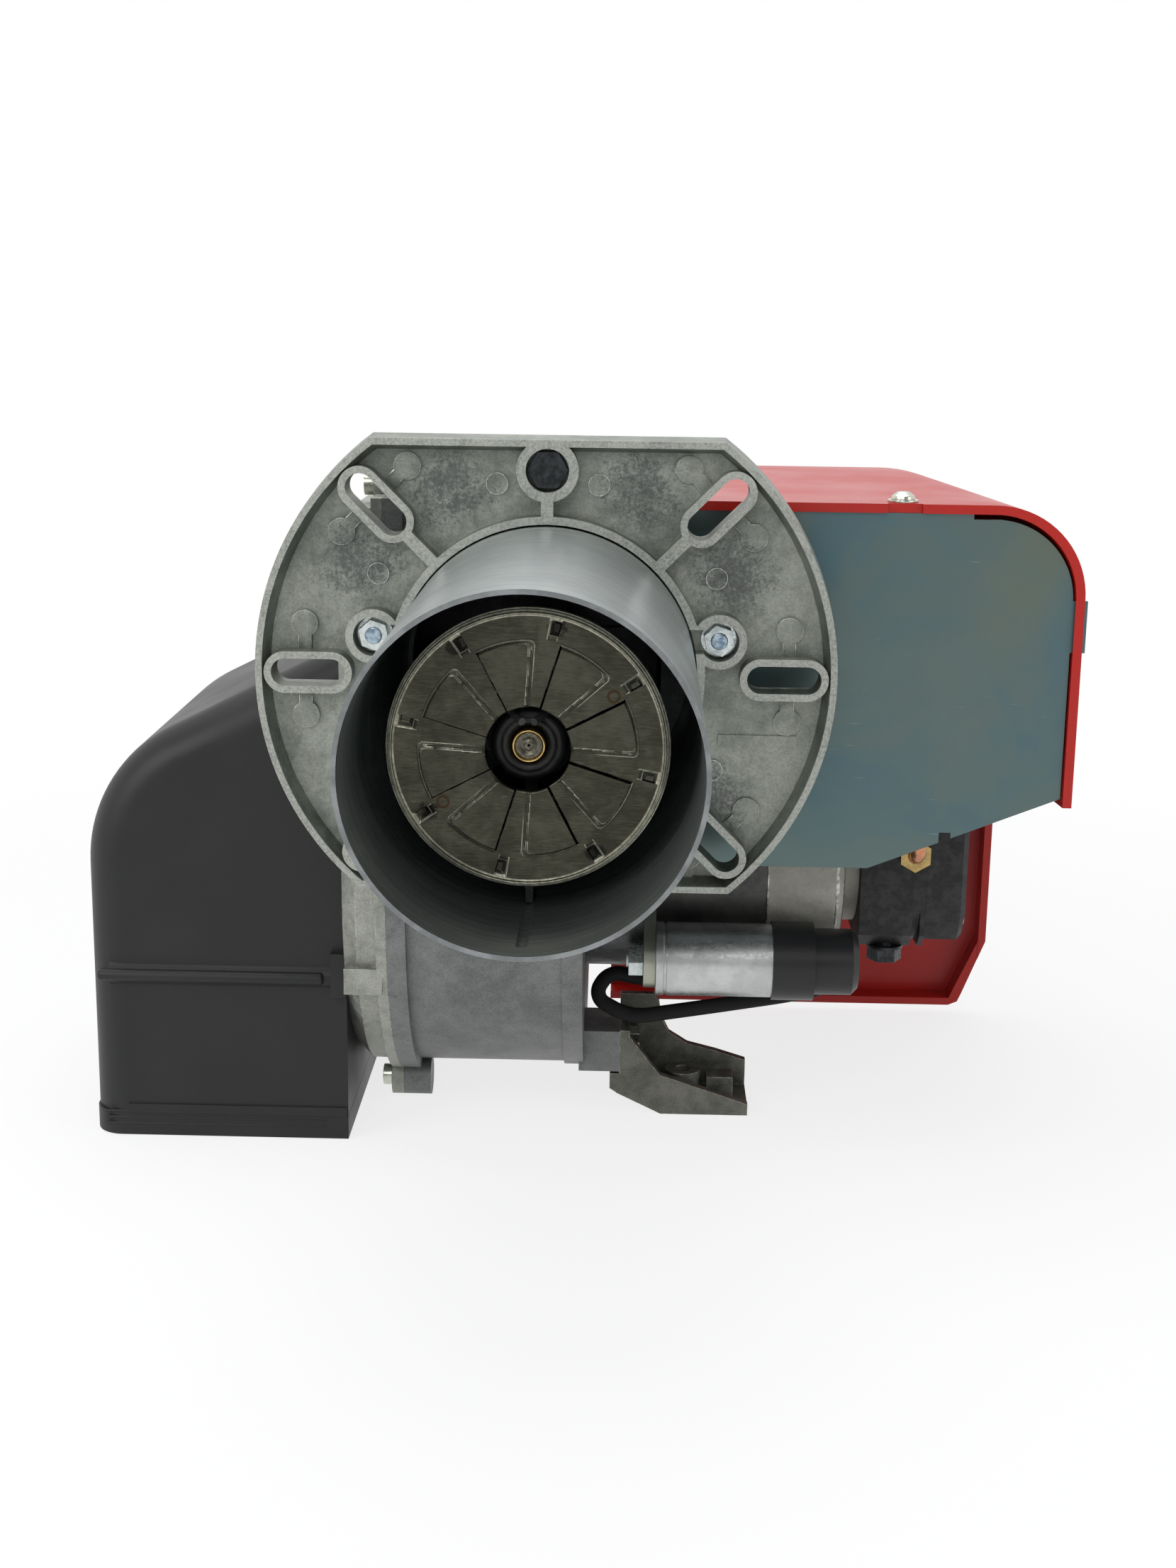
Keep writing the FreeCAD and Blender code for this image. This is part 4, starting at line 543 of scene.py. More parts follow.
@dataclass(frozen=True)
class Palette:
    """Every finish of the burner."""

    flange: Casting = Casting(
        "flange_die_cast", (0.195, 0.21, 0.185), (0.355, 0.375, 0.335), rough=0.46, metal=0.8,
        stains=((0.033, 0.009, 0.066), (-0.034, 0.009, 0.066), (0.067, 0.009, 0.038), (-0.068, 0.009, 0.040),
                (0.060, 0.009, -0.046), (-0.060, 0.009, -0.046)),
        worn_front=-0.0002)
    casing: Casting = Casting("casing_sand_cast", (0.155, 0.16, 0.16), (0.25, 0.255, 0.25), rough=0.52, metal=0.7)
    casing_light: Casting = Casting(
        "casing_light_cast", (0.25, 0.26, 0.235), (0.42, 0.43, 0.385), rough=0.5, metal=0.7)
    worn_edge: Plain = Plain("worn_casting_edge", (0.42, 0.43, 0.40), (0.98, 0.99, 0.96), 0.30, 0.9, 900.0)
    rubbed_edge: Plain = Plain("rubbed_casting_edge", (0.22, 0.22, 0.20), (0.58, 0.58, 0.53), 0.36, 0.85, 420.0)
    motor_cast: Casting = Casting("motor_shot_blasted", (0.34, 0.33, 0.29), (0.47, 0.46, 0.41), rough=0.62,
                                  metal=0.45, grain=2600.0, relief=0.00016)
    foot: Casting = Casting("foot_sand_cast", (0.10, 0.10, 0.088), (0.20, 0.20, 0.17), rough=0.5, metal=0.7)
    tube: TurnedSteel = TurnedSteel("tube_brushed_steel", (0.25, 0.275, 0.28), (0.60, 0.645, 0.64),
                                    (14.0, 2600.0, 14.0), rough=0.30)
    disc: PressedSteel = PressedSteel(
        "disc_rolled_steel", (0.044, 0.043, 0.032), (0.078, 0.076, 0.057),
        welds=((0.02566, -0.1256, 0.01667), (-0.02566, -0.1256, -0.01667)),
        smudges=((0.0085, -0.1256, 0.0370), (-0.0218, -0.1256, 0.0311), (0.0207, -0.1256, -0.0318),
                 (-0.0300, -0.1256, -0.0195)))
    nozzle_face: Plain = Plain("nozzle_steel", (0.085, 0.080, 0.062), (0.17, 0.16, 0.12), 0.3, 0.9, 900.0)
    # Painted highlight: a much brighter copy of the disc's steel, which the folds, louvres and rolled rim take in
    # place of the light they catch.
    disc_highlight: TurnedSteel = TurnedSteel("disc_painted_highlight_steel", (0.15, 0.147, 0.115), (0.40, 0.39, 0.31),
                                           (900.0, 900.0, 900.0), rough=0.30)
    cut_end: Plain = Plain("tube_cut_end", (0.20, 0.21, 0.215), (0.30, 0.315, 0.32), 0.36, 0.9, 90.0)
    soot_black: Plain = Plain("soot_blackened_steel", (0.008, 0.008, 0.009), (0.020, 0.020, 0.020), 0.42, 0.4, 240.0,
                              0.00003)
    ring_brass: Plain = Plain("nozzle_ring_brass", (0.74, 0.52, 0.20), (0.55, 0.38, 0.14), 0.22)
    bright: Plain = Plain("ground_steel", (0.50, 0.50, 0.49), (0.62, 0.62, 0.60), 0.25)
    zinc_sheet: ZincSheet = ZincSheet("zinc_sheet")
    hood_sheet: ZincSheet = ZincSheet("hood_zinc_sheet", (0.115, 0.165, 0.160), (0.095, 0.165, 0.185),
                                      (0.150, 0.175, 0.135), 0.36)
    stud_blue: Plain = Plain("stud_blue_zinc", (0.16, 0.23, 0.30), (0.42, 0.52, 0.60), 0.20, 1.0, 420.0)
    nut_zinc: Plain = Plain("nut_bright_zinc", (0.38, 0.43, 0.44), (0.66, 0.71, 0.70), 0.22, 1.0, 130.0)
    zinc: Plain = Plain("zinc_fastener", (0.52, 0.55, 0.50), (0.66, 0.66, 0.55), 0.24)
    black_fastener: Plain = Plain("black_oxide", (0.018, 0.02, 0.022), (0.05, 0.055, 0.06), 0.36, 0.7)
    black: Moulded = Moulded("black_moulding", (0.0145, 0.0145, 0.015), rough=0.44, fade=0.02, dust=0.2, gloss=0.32)
    cap: Moulded = Moulded("cap_moulding", (0.014, 0.014, 0.015), rough=0.38, fade=0.04, gloss=0.35)
    grey: Moulded = Moulded("grey_moulding", (0.09, 0.095, 0.10), rough=0.5, fade=0.1)
    hood: Moulded = Moulded("hood_red", (0.40, 0.010, 0.005), rough=0.34, fade=0.0, coat=0.05, gloss=0.36)
    motor_dark: Plain = Plain("motor_dark_steel", (0.05, 0.05, 0.05), (0.09, 0.088, 0.08), 0.42, 0.6, 60.0)
    pump: Plain = Plain("pump_dark_casting", (0.012, 0.0125, 0.013), (0.030, 0.030, 0.031), 0.5, 0.4, 240.0, 0.00006)
    copper: Plain = Plain("drawn_copper", (0.60, 0.27, 0.14), (0.42, 0.20, 0.12), 0.28)
    brass: Plain = Plain("turned_brass", (0.46, 0.33, 0.13), (0.34, 0.24, 0.10), 0.28)
    porcelain: Plain = Plain("glazed_porcelain", (0.78, 0.76, 0.70), (0.70, 0.67, 0.60), 0.15, 0.0, 60.0, coat=0.6)
    can: Plain = Plain("drawn_can", (0.50, 0.51, 0.51), (0.60, 0.61, 0.61), 0.38, 1.0, 90.0,
                       0.000003)
    rubber: Moulded = Moulded("black_sheath", (0.014, 0.014, 0.014), rough=0.6, grain=1600.0, fade=0.03, gloss=0.12)
    winding: Plain = Plain("varnished_winding", (0.30, 0.11, 0.04), (0.45, 0.20, 0.08), 0.3, 0.8, 500.0)


class Bench:
    """Selects, shapes and finishes pieces with the editor's own operators."""

    @staticmethod
    def hold(piece: Piece) -> None:
        """Selects one piece alone and makes it active."""
        bpy.ops.object.select_all(action="DESELECT")
        piece.select_set(True)
        bpy.context.view_layer.objects.active = piece

    @staticmethod
    def apply_place(piece: Piece) -> None:
        """Moves a piece's place, turn and scale into its mesh."""
        Bench.hold(piece)
        bpy.ops.object.transform_apply(location=True, rotation=True, scale=True)

    @staticmethod
    def named(piece: Piece, name: str) -> Piece:
        """Names a piece and its mesh."""
        piece.name = name
        piece.data.name = name
        return piece

    @staticmethod
    def select_faces(piece: Piece, test: Callable[[Vector, Vector], bool]) -> None:
        """Selects faces by place and normal, and leaves edit mode off.

        Args:
            piece: The piece.
            test: Says whether a face with this centre and normal is selected.
        """
        Bench.hold(piece)
        bpy.ops.object.mode_set(mode="EDIT")
        bpy.ops.mesh.select_mode(type="FACE")
        bpy.ops.mesh.select_all(action="DESELECT")
        bpy.ops.object.mode_set(mode="OBJECT")
        for face in piece.data.polygons:
            face.select = test(face.center, face.normal)

    @staticmethod
    def shift_faces(piece: Piece, test: Callable[[Vector, Vector], bool], way: Sequence[float]) -> None:
        """Moves the faces that a test picks, and stretches their neighbours.

        Args:
            piece: The piece.
            test: Says whether a face with this centre and normal moves.
            way: The move in metres.
        """
        Bench.select_faces(piece, test)
        bpy.ops.object.mode_set(mode="EDIT")
        bpy.ops.transform.translate(value=way)
        bpy.ops.object.mode_set(mode="OBJECT")

    @staticmethod
    def delete_faces(piece: Piece, test: Callable[[Vector, Vector], bool]) -> None:
        """Deletes the faces that a test picks."""
        Bench.select_faces(piece, test)
        bpy.ops.object.mode_set(mode="EDIT")
        bpy.ops.mesh.delete(type="FACE")
        bpy.ops.object.mode_set(mode="OBJECT")

    @staticmethod
    def cut_line(piece: Piece, test: Callable[[Vector, Vector], bool], place: Sequence[float],
                 normal: Sequence[float]) -> None:
        """Cuts the faces that a test picks along a plane.

        Args:
            piece: The piece.
            test: Says whether a face with this centre and normal is cut.
            place: A point of the plane.
            normal: The plane's normal.
        """
        Bench.select_faces(piece, test)
        bpy.ops.object.mode_set(mode="EDIT")
        bpy.ops.mesh.bisect(plane_co=place, plane_no=normal, use_fill=False)
        bpy.ops.object.mode_set(mode="OBJECT")

    @staticmethod
    def turned(name: str, profile: Sequence[tuple[float, float]], columns: int, closed: bool = False) -> Piece:
        """Turns a profile about the Y axis: a circle is extruded and resized ring by ring.

        Args:
            name: The piece's name.
            profile: Points of (radius, Y), so that the skin's outer side lies left of the way they run.
            columns: Vertices round the circle.
            closed: Whether the last ring is merged with the first.

        Returns:
            The turned piece.
        """
        radius, place = profile[0]
        bpy.ops.object.select_all(action="DESELECT")
        bpy.ops.mesh.primitive_circle_add(vertices=columns, radius=radius, fill_type="NOTHING",
                                          location=(0.0, place, 0.0), rotation=(math.pi / 2, 0.0, 0.0))
        piece = Bench.named(bpy.context.active_object, name)
        Bench.apply_place(piece)
        bpy.ops.object.mode_set(mode="EDIT")
        bpy.ops.mesh.select_all(action="SELECT")
        points = list(profile[1:]) + ([profile[0]] if closed else [])
        for new_radius, new_place in points:
            bpy.ops.mesh.extrude_edges_move(TRANSFORM_OT_translate={"value": (0.0, new_place - place, 0.0)})
            share = new_radius / radius
            bpy.ops.transform.resize(value=(share, 1.0, share), center_override=(0.0, new_place, 0.0))
            radius, place = new_radius, new_place
        bpy.ops.mesh.select_all(action="SELECT")
        bpy.ops.mesh.remove_doubles(threshold=1e-6)
        if closed:
            bpy.ops.mesh.normals_make_consistent(inside=False)
        bpy.ops.object.mode_set(mode="OBJECT")
        return piece

    @staticmethod
    def face_front(piece: Piece) -> None:
        """Turns an open skin's normals to the furnace side, -Y."""
        lean = sum(face.normal.y * face.area for face in piece.data.polygons)
        if lean > 0:
            Bench.hold(piece)
            bpy.ops.object.mode_set(mode="EDIT")
            bpy.ops.mesh.select_all(action="SELECT")
            bpy.ops.mesh.flip_normals()
            bpy.ops.object.mode_set(mode="OBJECT")

    @staticmethod
    def thickened(piece: Piece, thickness: float) -> None:
        """Gives an open skin its wall, behind the side that its normals point to."""
        Bench.hold(piece)
        wall = piece.modifiers.new("wall", "SOLIDIFY")
        wall.thickness = thickness
        wall.offset = -1.0
        bpy.ops.object.modifier_apply(modifier=wall.name)

    @staticmethod
    def turn(piece: Piece, axis: str, degrees: float) -> None:
        """Turns a piece about an axis through the origin, in its mesh."""
        piece.rotation_euler = tuple(math.radians(degrees) if name == axis else 0.0 for name in "XYZ")
        Bench.apply_place(piece)

    @staticmethod
    def copy(piece: Piece, name: str) -> Piece:
        """Copies a piece with its own mesh."""
        twin = piece.copy()
        twin.data = piece.data.copy()
        bpy.context.scene.collection.objects.link(twin)
        return Bench.named(twin, name)

    @staticmethod
    def joined(pieces: Sequence[Piece], name: str) -> Piece:
        """Joins pieces into the first one."""
        bpy.ops.object.select_all(action="DESELECT")
        for piece in pieces:
            piece.select_set(True)
        bpy.context.view_layer.objects.active = pieces[0]
        bpy.ops.object.join()
        return Bench.named(pieces[0], name)

    @staticmethod
    def second_finish(piece: Piece, material: bpy.types.Material, test: Callable[[Vector, Vector], bool]) -> None:
        """Gives the faces that a test picks another material.

        Args:
            piece: The piece.
            material: The other material.
            test: Says whether a face with this centre and normal takes it.
        """
        piece.data.materials.append(material)
        index = len(piece.data.materials) - 1
        for face in piece.data.polygons:
            if test(face.center, face.normal):
                face.material_index = index

    @staticmethod
    def rounded(piece: Piece, width: float, segments: int = 2, angle: float = 35.0, clamp: bool = True,
                worn: int = -1) -> None:
        """Rounds a piece's edges with an applied bevel.

        Args:
            piece: The piece.
            width: The bevel's width in metres.
            segments: Its segments.
            angle: The least angle between faces, in degrees.
            clamp: Whether the width is held back by small faces.
            worn: Material index of the rounded edges, or -1 for that of their faces.
        """
        Bench.hold(piece)
        bevel = piece.modifiers.new("rounding", "BEVEL")
        bevel.material = worn
        bevel.width = width
        bevel.segments = segments
        bevel.limit_method = "ANGLE"
        bevel.angle_limit = math.radians(angle)
        bevel.use_clamp_overlap = clamp
        bevel.miter_outer = "MITER_ARC"
        bpy.ops.object.modifier_apply(modifier=bevel.name)

    @staticmethod
    def smooth(piece: Piece, angle: float = 40.0) -> None:
        """Shades a piece smooth up to an angle in degrees."""
        Bench.hold(piece)
        bpy.ops.object.shade_smooth_by_angle(angle=math.radians(angle))

    @staticmethod
    def weighted(piece: Piece) -> None:
        """Weights a piece's normals by face area, so that flat faces stay flat beside their rounding."""
        Bench.hold(piece)
        modifier = piece.modifiers.new("weighting", "WEIGHTED_NORMAL")
        modifier.keep_sharp = True
        bpy.ops.object.modifier_apply(modifier=modifier.name)

    @staticmethod
    def paint(piece: Piece, material: bpy.types.Material) -> None:
        """Gives a piece one material."""
        piece.data.materials.clear()
        piece.data.materials.append(material)

    @staticmethod
    def mount(piece: Piece, body: Body, slot: Slot, *nodes: str) -> Piece:
        """Puts a piece on the body it rides on and hides the nodes it stands for.

        Args:
            piece: The piece.
            body: The body it rides on.
            slot: The record's material slot; not used.
            nodes: CAD nodes that it stands for.

        Returns:
            The piece.
        """
        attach(piece, body.value)
        if nodes:
            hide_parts(*nodes)
        log.info("%s: %d faces on %s", piece.name, len(piece.data.polygons), body.value)
        return piece


@dataclass
class DressedNode:
    """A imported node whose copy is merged, rounded along its edges and given its finish."""

    node: str
    body: Body
    slot: Slot
    rounding: float = 0.4 * MM
    segments: int = 2
    angle: float = 35.0
    clamp: bool = True
    merge_within: float = 0.002 * MM
    flat_within: float = 0.3
    shade_within: float = 38.0

    def build(self, material: bpy.types.Material, worn: Optional[bpy.types.Material] = None) -> Piece:
        """Makes the finished copy.

        Args:
            material: Its finish.
            worn: The finish of its rounded edges, where wear has bared them.

        Returns:
            The piece that stands for the node.
        """
        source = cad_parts[self.node]
        mesh = source.data.copy()
        piece = bpy.data.objects.new(self.node + "_dressed", mesh)
        bpy.context.scene.collection.objects.link(piece)
        mesh.name = piece.name
        Bench.hold(piece)
        if mesh.has_custom_normals:
            bpy.ops.mesh.customdata_custom_splitnormals_clear()
        bpy.ops.object.mode_set(mode="EDIT")
        bpy.ops.mesh.select_all(action="SELECT")
        bpy.ops.mesh.remove_doubles(threshold=self.merge_within)
        bpy.ops.mesh.dissolve_limited(angle_limit=math.radians(self.flat_within))
        bpy.ops.object.mode_set(mode="OBJECT")
        Bench.paint(piece, material)
        if worn is not None:
            piece.data.materials.append(worn)
        if self.rounding:
            Bench.rounded(piece, self.rounding, self.segments, self.angle, self.clamp, 1 if worn else -1)
        Bench.smooth(piece, self.shade_within)
        if self.rounding:
            Bench.weighted(piece)
        return Bench.mount(piece, self.body, self.slot, self.node)


def polar(place: Vector) -> tuple[float, float]:
    """Radius in metres and angle in degrees of a place, about the tube's axis and from +X."""
    return math.hypot(place.x, place.z), math.degrees(math.atan2(place.z, place.x)) % 360.0


@dataclass
class SwirlDisc:
    """The pressed disc in the tube: eight swirl vanes, eight small louvres and a rolled rim."""

    columns: int = 720
    count: int = 8
    rim_reach: float = 4.0 * MM
    hole_r: float = 12.9 * MM
    vane_r: float = 32.3 * MM
    land_r: float = 40.6 * MM
    first_root: float = -3.0
    fan: float = 30.4
    fold: float = 2.3 * MM
    fold_steps: tuple[float, ...] = (0.12, 0.24, 0.32, 0.24, 0.12)
    arc_step: float = 0.2 * MM
    corner: float = 1.6 * MM
    slit: float = 0.62 * MM
    tilt: float = 3.0
    louvre_angle: float = 34.0
    louvre_span: float = 4.5
    louvre_inner: float = 35.2 * MM
    louvre_outer: float = 40.2 * MM
    louvre_depth: float = 1.1 * MM
    louvre_levels: int = 6
    wall: float = 0.75 * MM
    pitch: float = 45.0
    slit_angle_room: float = 12.0
    fold_room: float = 4.0 * MM
    slit_room: float = 1.2 * MM
    front: float = field(init=False)

    def __post_init__(self) -> None:
        """Takes the plate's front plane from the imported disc."""
        self.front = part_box("diffuser_disc")[1][1] - self.rim_reach

    def plate_profile(self) -> list[tuple[float, float]]:
        """Radii and places of the plate's rings, close together where it is pressed.

        Returns:
            Points of (radius, Y) from the hole to the rim.
        """
        y = self.front
        lip = [(self.hole_r, y + 2.0 * MM), (self.hole_r + 0.03 * MM, y + 0.8 * MM),
               (self.hole_r + 0.15 * MM, y + 0.3 * MM), (self.hole_r + 0.45 * MM, y + 0.06 * MM)]
        radii = [self.hole_r + step * MM for step in (0.9, 3.5, 6.5, 9.5, 12.5, 15.5, 17.6)]
        radii += [self.vane_r + self.arc_step * step for step in range(-3, 6)]
        radii += [self.louvre_inner - 1.2 * MM]
        steps = 18
        run = (self.louvre_outer - self.louvre_inner) / steps
        radii += [self.louvre_inner + run * step for step in range(steps + 1)]
        radii += [self.land_r]
        return lip + [(radius, y) for radius in radii]

    def rim_profile(self) -> list[tuple[float, float]]:
        """The rolled rim's section.

        Returns:
            Points of (radius, Y), once round the closed section.
        """
        skin = [(40.6, 0.0), (40.95, -0.02), (41.12, -0.12), (41.24, -0.38), (41.30, -0.85), (41.40, -1.06),
                (41.58, -1.12), (41.74, -1.02), (41.82, -0.75), (41.86, -0.2), (41.95, 0.12), (42.15, 0.25),
                (42.38, 0.27), (42.50, 0.38), (42.56, 0.75), (42.68, 0.95), (42.92, 1.0), (43.08, 1.12),
                (43.14, 1.5), (43.17, 2.6), (43.12, 3.2), (42.95, 3.45), (42.70, 3.3)]
        back = [(42.4, 2.2), (41.9, 1.5), (41.2, 1.0), (40.6, 0.75)]
        return [(radius * MM, self.front + place * MM) for radius, place in skin + back]

    def in_vane(self, level: float, reach: float) -> Callable[[Vector, Vector], bool]:
        """A test for the faces of the vane at the working place.

        Args:
            level: Least distance from the root line.
            reach: Greatest radius.

        Returns:
            The test.
        """
        def test(centre: Vector, normal: Vector) -> bool:
            """Whether a face lies inside the vane's rounded outline."""
            radius, angle = polar(centre)
            if angle > self.fan or radius > reach or centre.z < level:
                return False
            side, end = centre.z - level, reach - radius
            if side < self.corner and end < self.corner:
                return math.hypot(self.corner - side, self.corner - end) < self.corner
            return True
        return test

    def press_vane(self, piece: Piece) -> None:
        """Folds and tilts the vane whose root line lies along +X.

        Args:
            piece: The disc.
        """
        def near_root(centre: Vector, normal: Vector) -> bool:
            """Whether a face is beside the root line."""
            near = abs(centre.z) < 2 * self.fold and polar(centre)[0] < self.vane_r + self.fold_room
            return centre.x > 0 and near

        def near_slit(centre: Vector, normal: Vector) -> bool:
            """Whether a face is beside the slit."""
            radius, angle = polar(centre)
            return abs(angle - self.fan) < self.slit_angle_room and radius < self.vane_r + self.slit_room

        edge = math.radians(self.fan)
        across = (-math.sin(edge), 0.0, math.cos(edge))
        for side in (0.0, self.slit):
            Bench.cut_line(piece, near_slit, [part * side for part in across], across)
        gap_end = self.vane_r + 4 * self.arc_step

        def in_gap(centre: Vector, normal: Vector) -> bool:
            """Whether a face lies in the slit."""
            off = centre.x * across[0] + centre.z * across[2]
            along = centre.x * math.cos(edge) + centre.z * math.sin(edge)
            return 0 < off < self.slit and along > 0 and polar(centre)[0] < gap_end

        Bench.delete_faces(piece, in_gap)
        levels = len(self.fold_steps)
        for index, step in enumerate(self.fold_steps):
            level = self.fold * index / levels
            Bench.cut_line(piece, near_root, (0.0, 0.0, level), (0.0, 0.0, 1.0))
            reach = self.vane_r + self.arc_step * (levels - 1 - index)
            Bench.shift_faces(piece, self.in_vane(level, reach), (0.0, -step * MM, 0.0))
        hinge = self.fold * (levels - 1) / levels
        for part in range(3):
            Bench.select_faces(piece, self.in_vane(hinge, self.vane_r + self.arc_step * (2 - part)))
            bpy.ops.object.mode_set(mode="EDIT")
            bpy.ops.transform.rotate(value=-math.radians(self.tilt / 3), orient_axis="X",
                                     center_override=(0.0, self.front, hinge))
            bpy.ops.object.mode_set(mode="OBJECT")

    def press_louvre(self, piece: Piece) -> None:
        """Presses back the louvre that follows the vane at the working place.

        Args:
            piece: The disc.
        """
        cell = 360.0 / self.columns

        def in_slot(centre: Vector, normal: Vector) -> bool:
            """Whether a face lies in the louvre's slot."""
            radius, angle = polar(centre)
            inside = self.louvre_inner + 0.5 * MM < radius < self.louvre_outer - 0.5 * MM
            return inside and self.louvre_angle - cell < angle < self.louvre_angle

        Bench.delete_faces(piece, in_slot)
        for index in range(self.louvre_levels):
            trim = 0.25 * MM * index
            far = self.louvre_angle + self.louvre_span - 0.5 * index

            def pressed(centre: Vector, normal: Vector) -> bool:
                """Whether a face is pressed back at this level."""
                radius, angle = polar(centre)
                return (self.louvre_angle < angle < far
                        and self.louvre_inner + trim < radius < self.louvre_outer - trim)

            Bench.shift_faces(piece, pressed, (0.0, self.louvre_depth / self.louvre_levels, 0.0))

    def build(self, steel: bpy.types.Material, rubbed_and_highlight: bpy.types.Material) -> None:
        """Builds the disc.

        Args:
            steel: Its finish.
            rubbed_and_highlight: A much brighter steel, painted on its folds, louvres and rolled rim as their
                highlight.
        """
        plate = Bench.turned("swirl_disc_plate", self.plate_profile(), self.columns)
        Bench.face_front(plate)
        for _ in range(self.count):
            self.press_vane(plate)
            self.press_louvre(plate)
            Bench.turn(plate, "Y", self.pitch)
        Bench.turn(plate, "Y", -self.first_root)
        Bench.thickened(plate, self.wall)
        rim = Bench.turned("swirl_disc_rim", self.rim_profile(), 240, closed=True)
        # Painted highlight: the rolled rim is all in the much brighter steel, which stands in for the light that
        # catches its curl.
        for piece, finish in ((plate, steel), (rim, rubbed_and_highlight)):
            Bench.smooth(piece, 32.0)
            Bench.paint(piece, finish)
        # Painted highlight: the sloped front faces of the folds, louvres and slits take the brighter steel, which
        # stands in for the light they catch.
        Bench.second_finish(plate, rubbed_and_highlight, lambda centre, normal: centre.y < self.front + self.wall * 0.5
                            and -0.985 < normal.y < -0.1 and polar(centre)[0] > self.hole_r + 1.0 * MM)
        Bench.mount(plate, Body.HEAD, Slot.DISC, "diffuser_disc")
        Bench.mount(rim, Body.HEAD, Slot.DISC, "diffuser_disc")


@dataclass
class NozzleFront:
    """The oil nozzle's face with its thin brass edge, in the blackened nose of its holder."""

    columns: int = 96
    tip: float = field(init=False)

    def __post_init__(self) -> None:
        """Takes the nozzle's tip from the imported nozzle."""
        self.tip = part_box("nozzle")[0][1]

    def section(self, points: Sequence[tuple[float, float]]) -> list[tuple[float, float]]:
        """Places a section of (radius, depth) in millimetres behind the tip."""
        return [(radius * MM, self.tip + depth * MM) for radius, depth in points]

    def build(self, brass: bpy.types.Material, face: bpy.types.Material, black: bpy.types.Material) -> None:
        """Builds the nozzle and the nose.

        Args:
            brass: The body's finish.
            face: The finish of the steel face inside the brass edge.
            black: The nose's finish.
        """
        body = Bench.turned("nozzle_body", self.section([
            (4.1, 1.0), (4.35, 0.35), (4.5, 0.1), (4.72, 0.0), (4.95, 0.1), (5.08, 0.4), (5.2, 1.2), (5.2, 6.0),
            (6.9, 8.4), (7.4, 10.0), (7.4, 18.0), (4.9, 18.1), (4.9, 26.9), (4.1, 26.9)]), self.columns, closed=True)
        insert = Bench.turned("nozzle_insert", self.section([
            (0.35, 3.0), (0.42, 1.35), (0.8, 1.22), (1.5, 1.3), (1.7, 1.5), (2.0, 1.52), (2.3, 1.25), (3.1, 1.0),
            (3.7, 0.9), (4.05, 1.0), (4.3, 1.6), (4.3, 4.0), (0.35, 4.0)]), self.columns, closed=True)
        nose = Bench.turned("holder_nose", self.section([
            (5.3, 5.2), (5.6, 3.6), (6.3, 2.7), (7.2, 2.3), (8.0, 2.35), (8.4, 2.7), (8.9, 2.9), (9.6, 2.85),
            (10.4, 3.1), (11.2, 3.9), (11.7, 5.2), (11.8, 7.0), (11.8, 16.0), (9.2, 17.8), (7.6, 17.8), (7.6, 8.0),
            (5.3, 6.0)]), self.columns, closed=True)
        for piece, material, slot in ((body, brass, Slot.BRASS), (insert, face, Slot.BRIGHT_STEEL),
                                      (nose, black, Slot.BLACK_FASTENER)):
            Bench.smooth(piece, 50.0)
            Bench.paint(piece, material)
            Bench.mount(piece, Body.HEAD, slot, "nozzle")


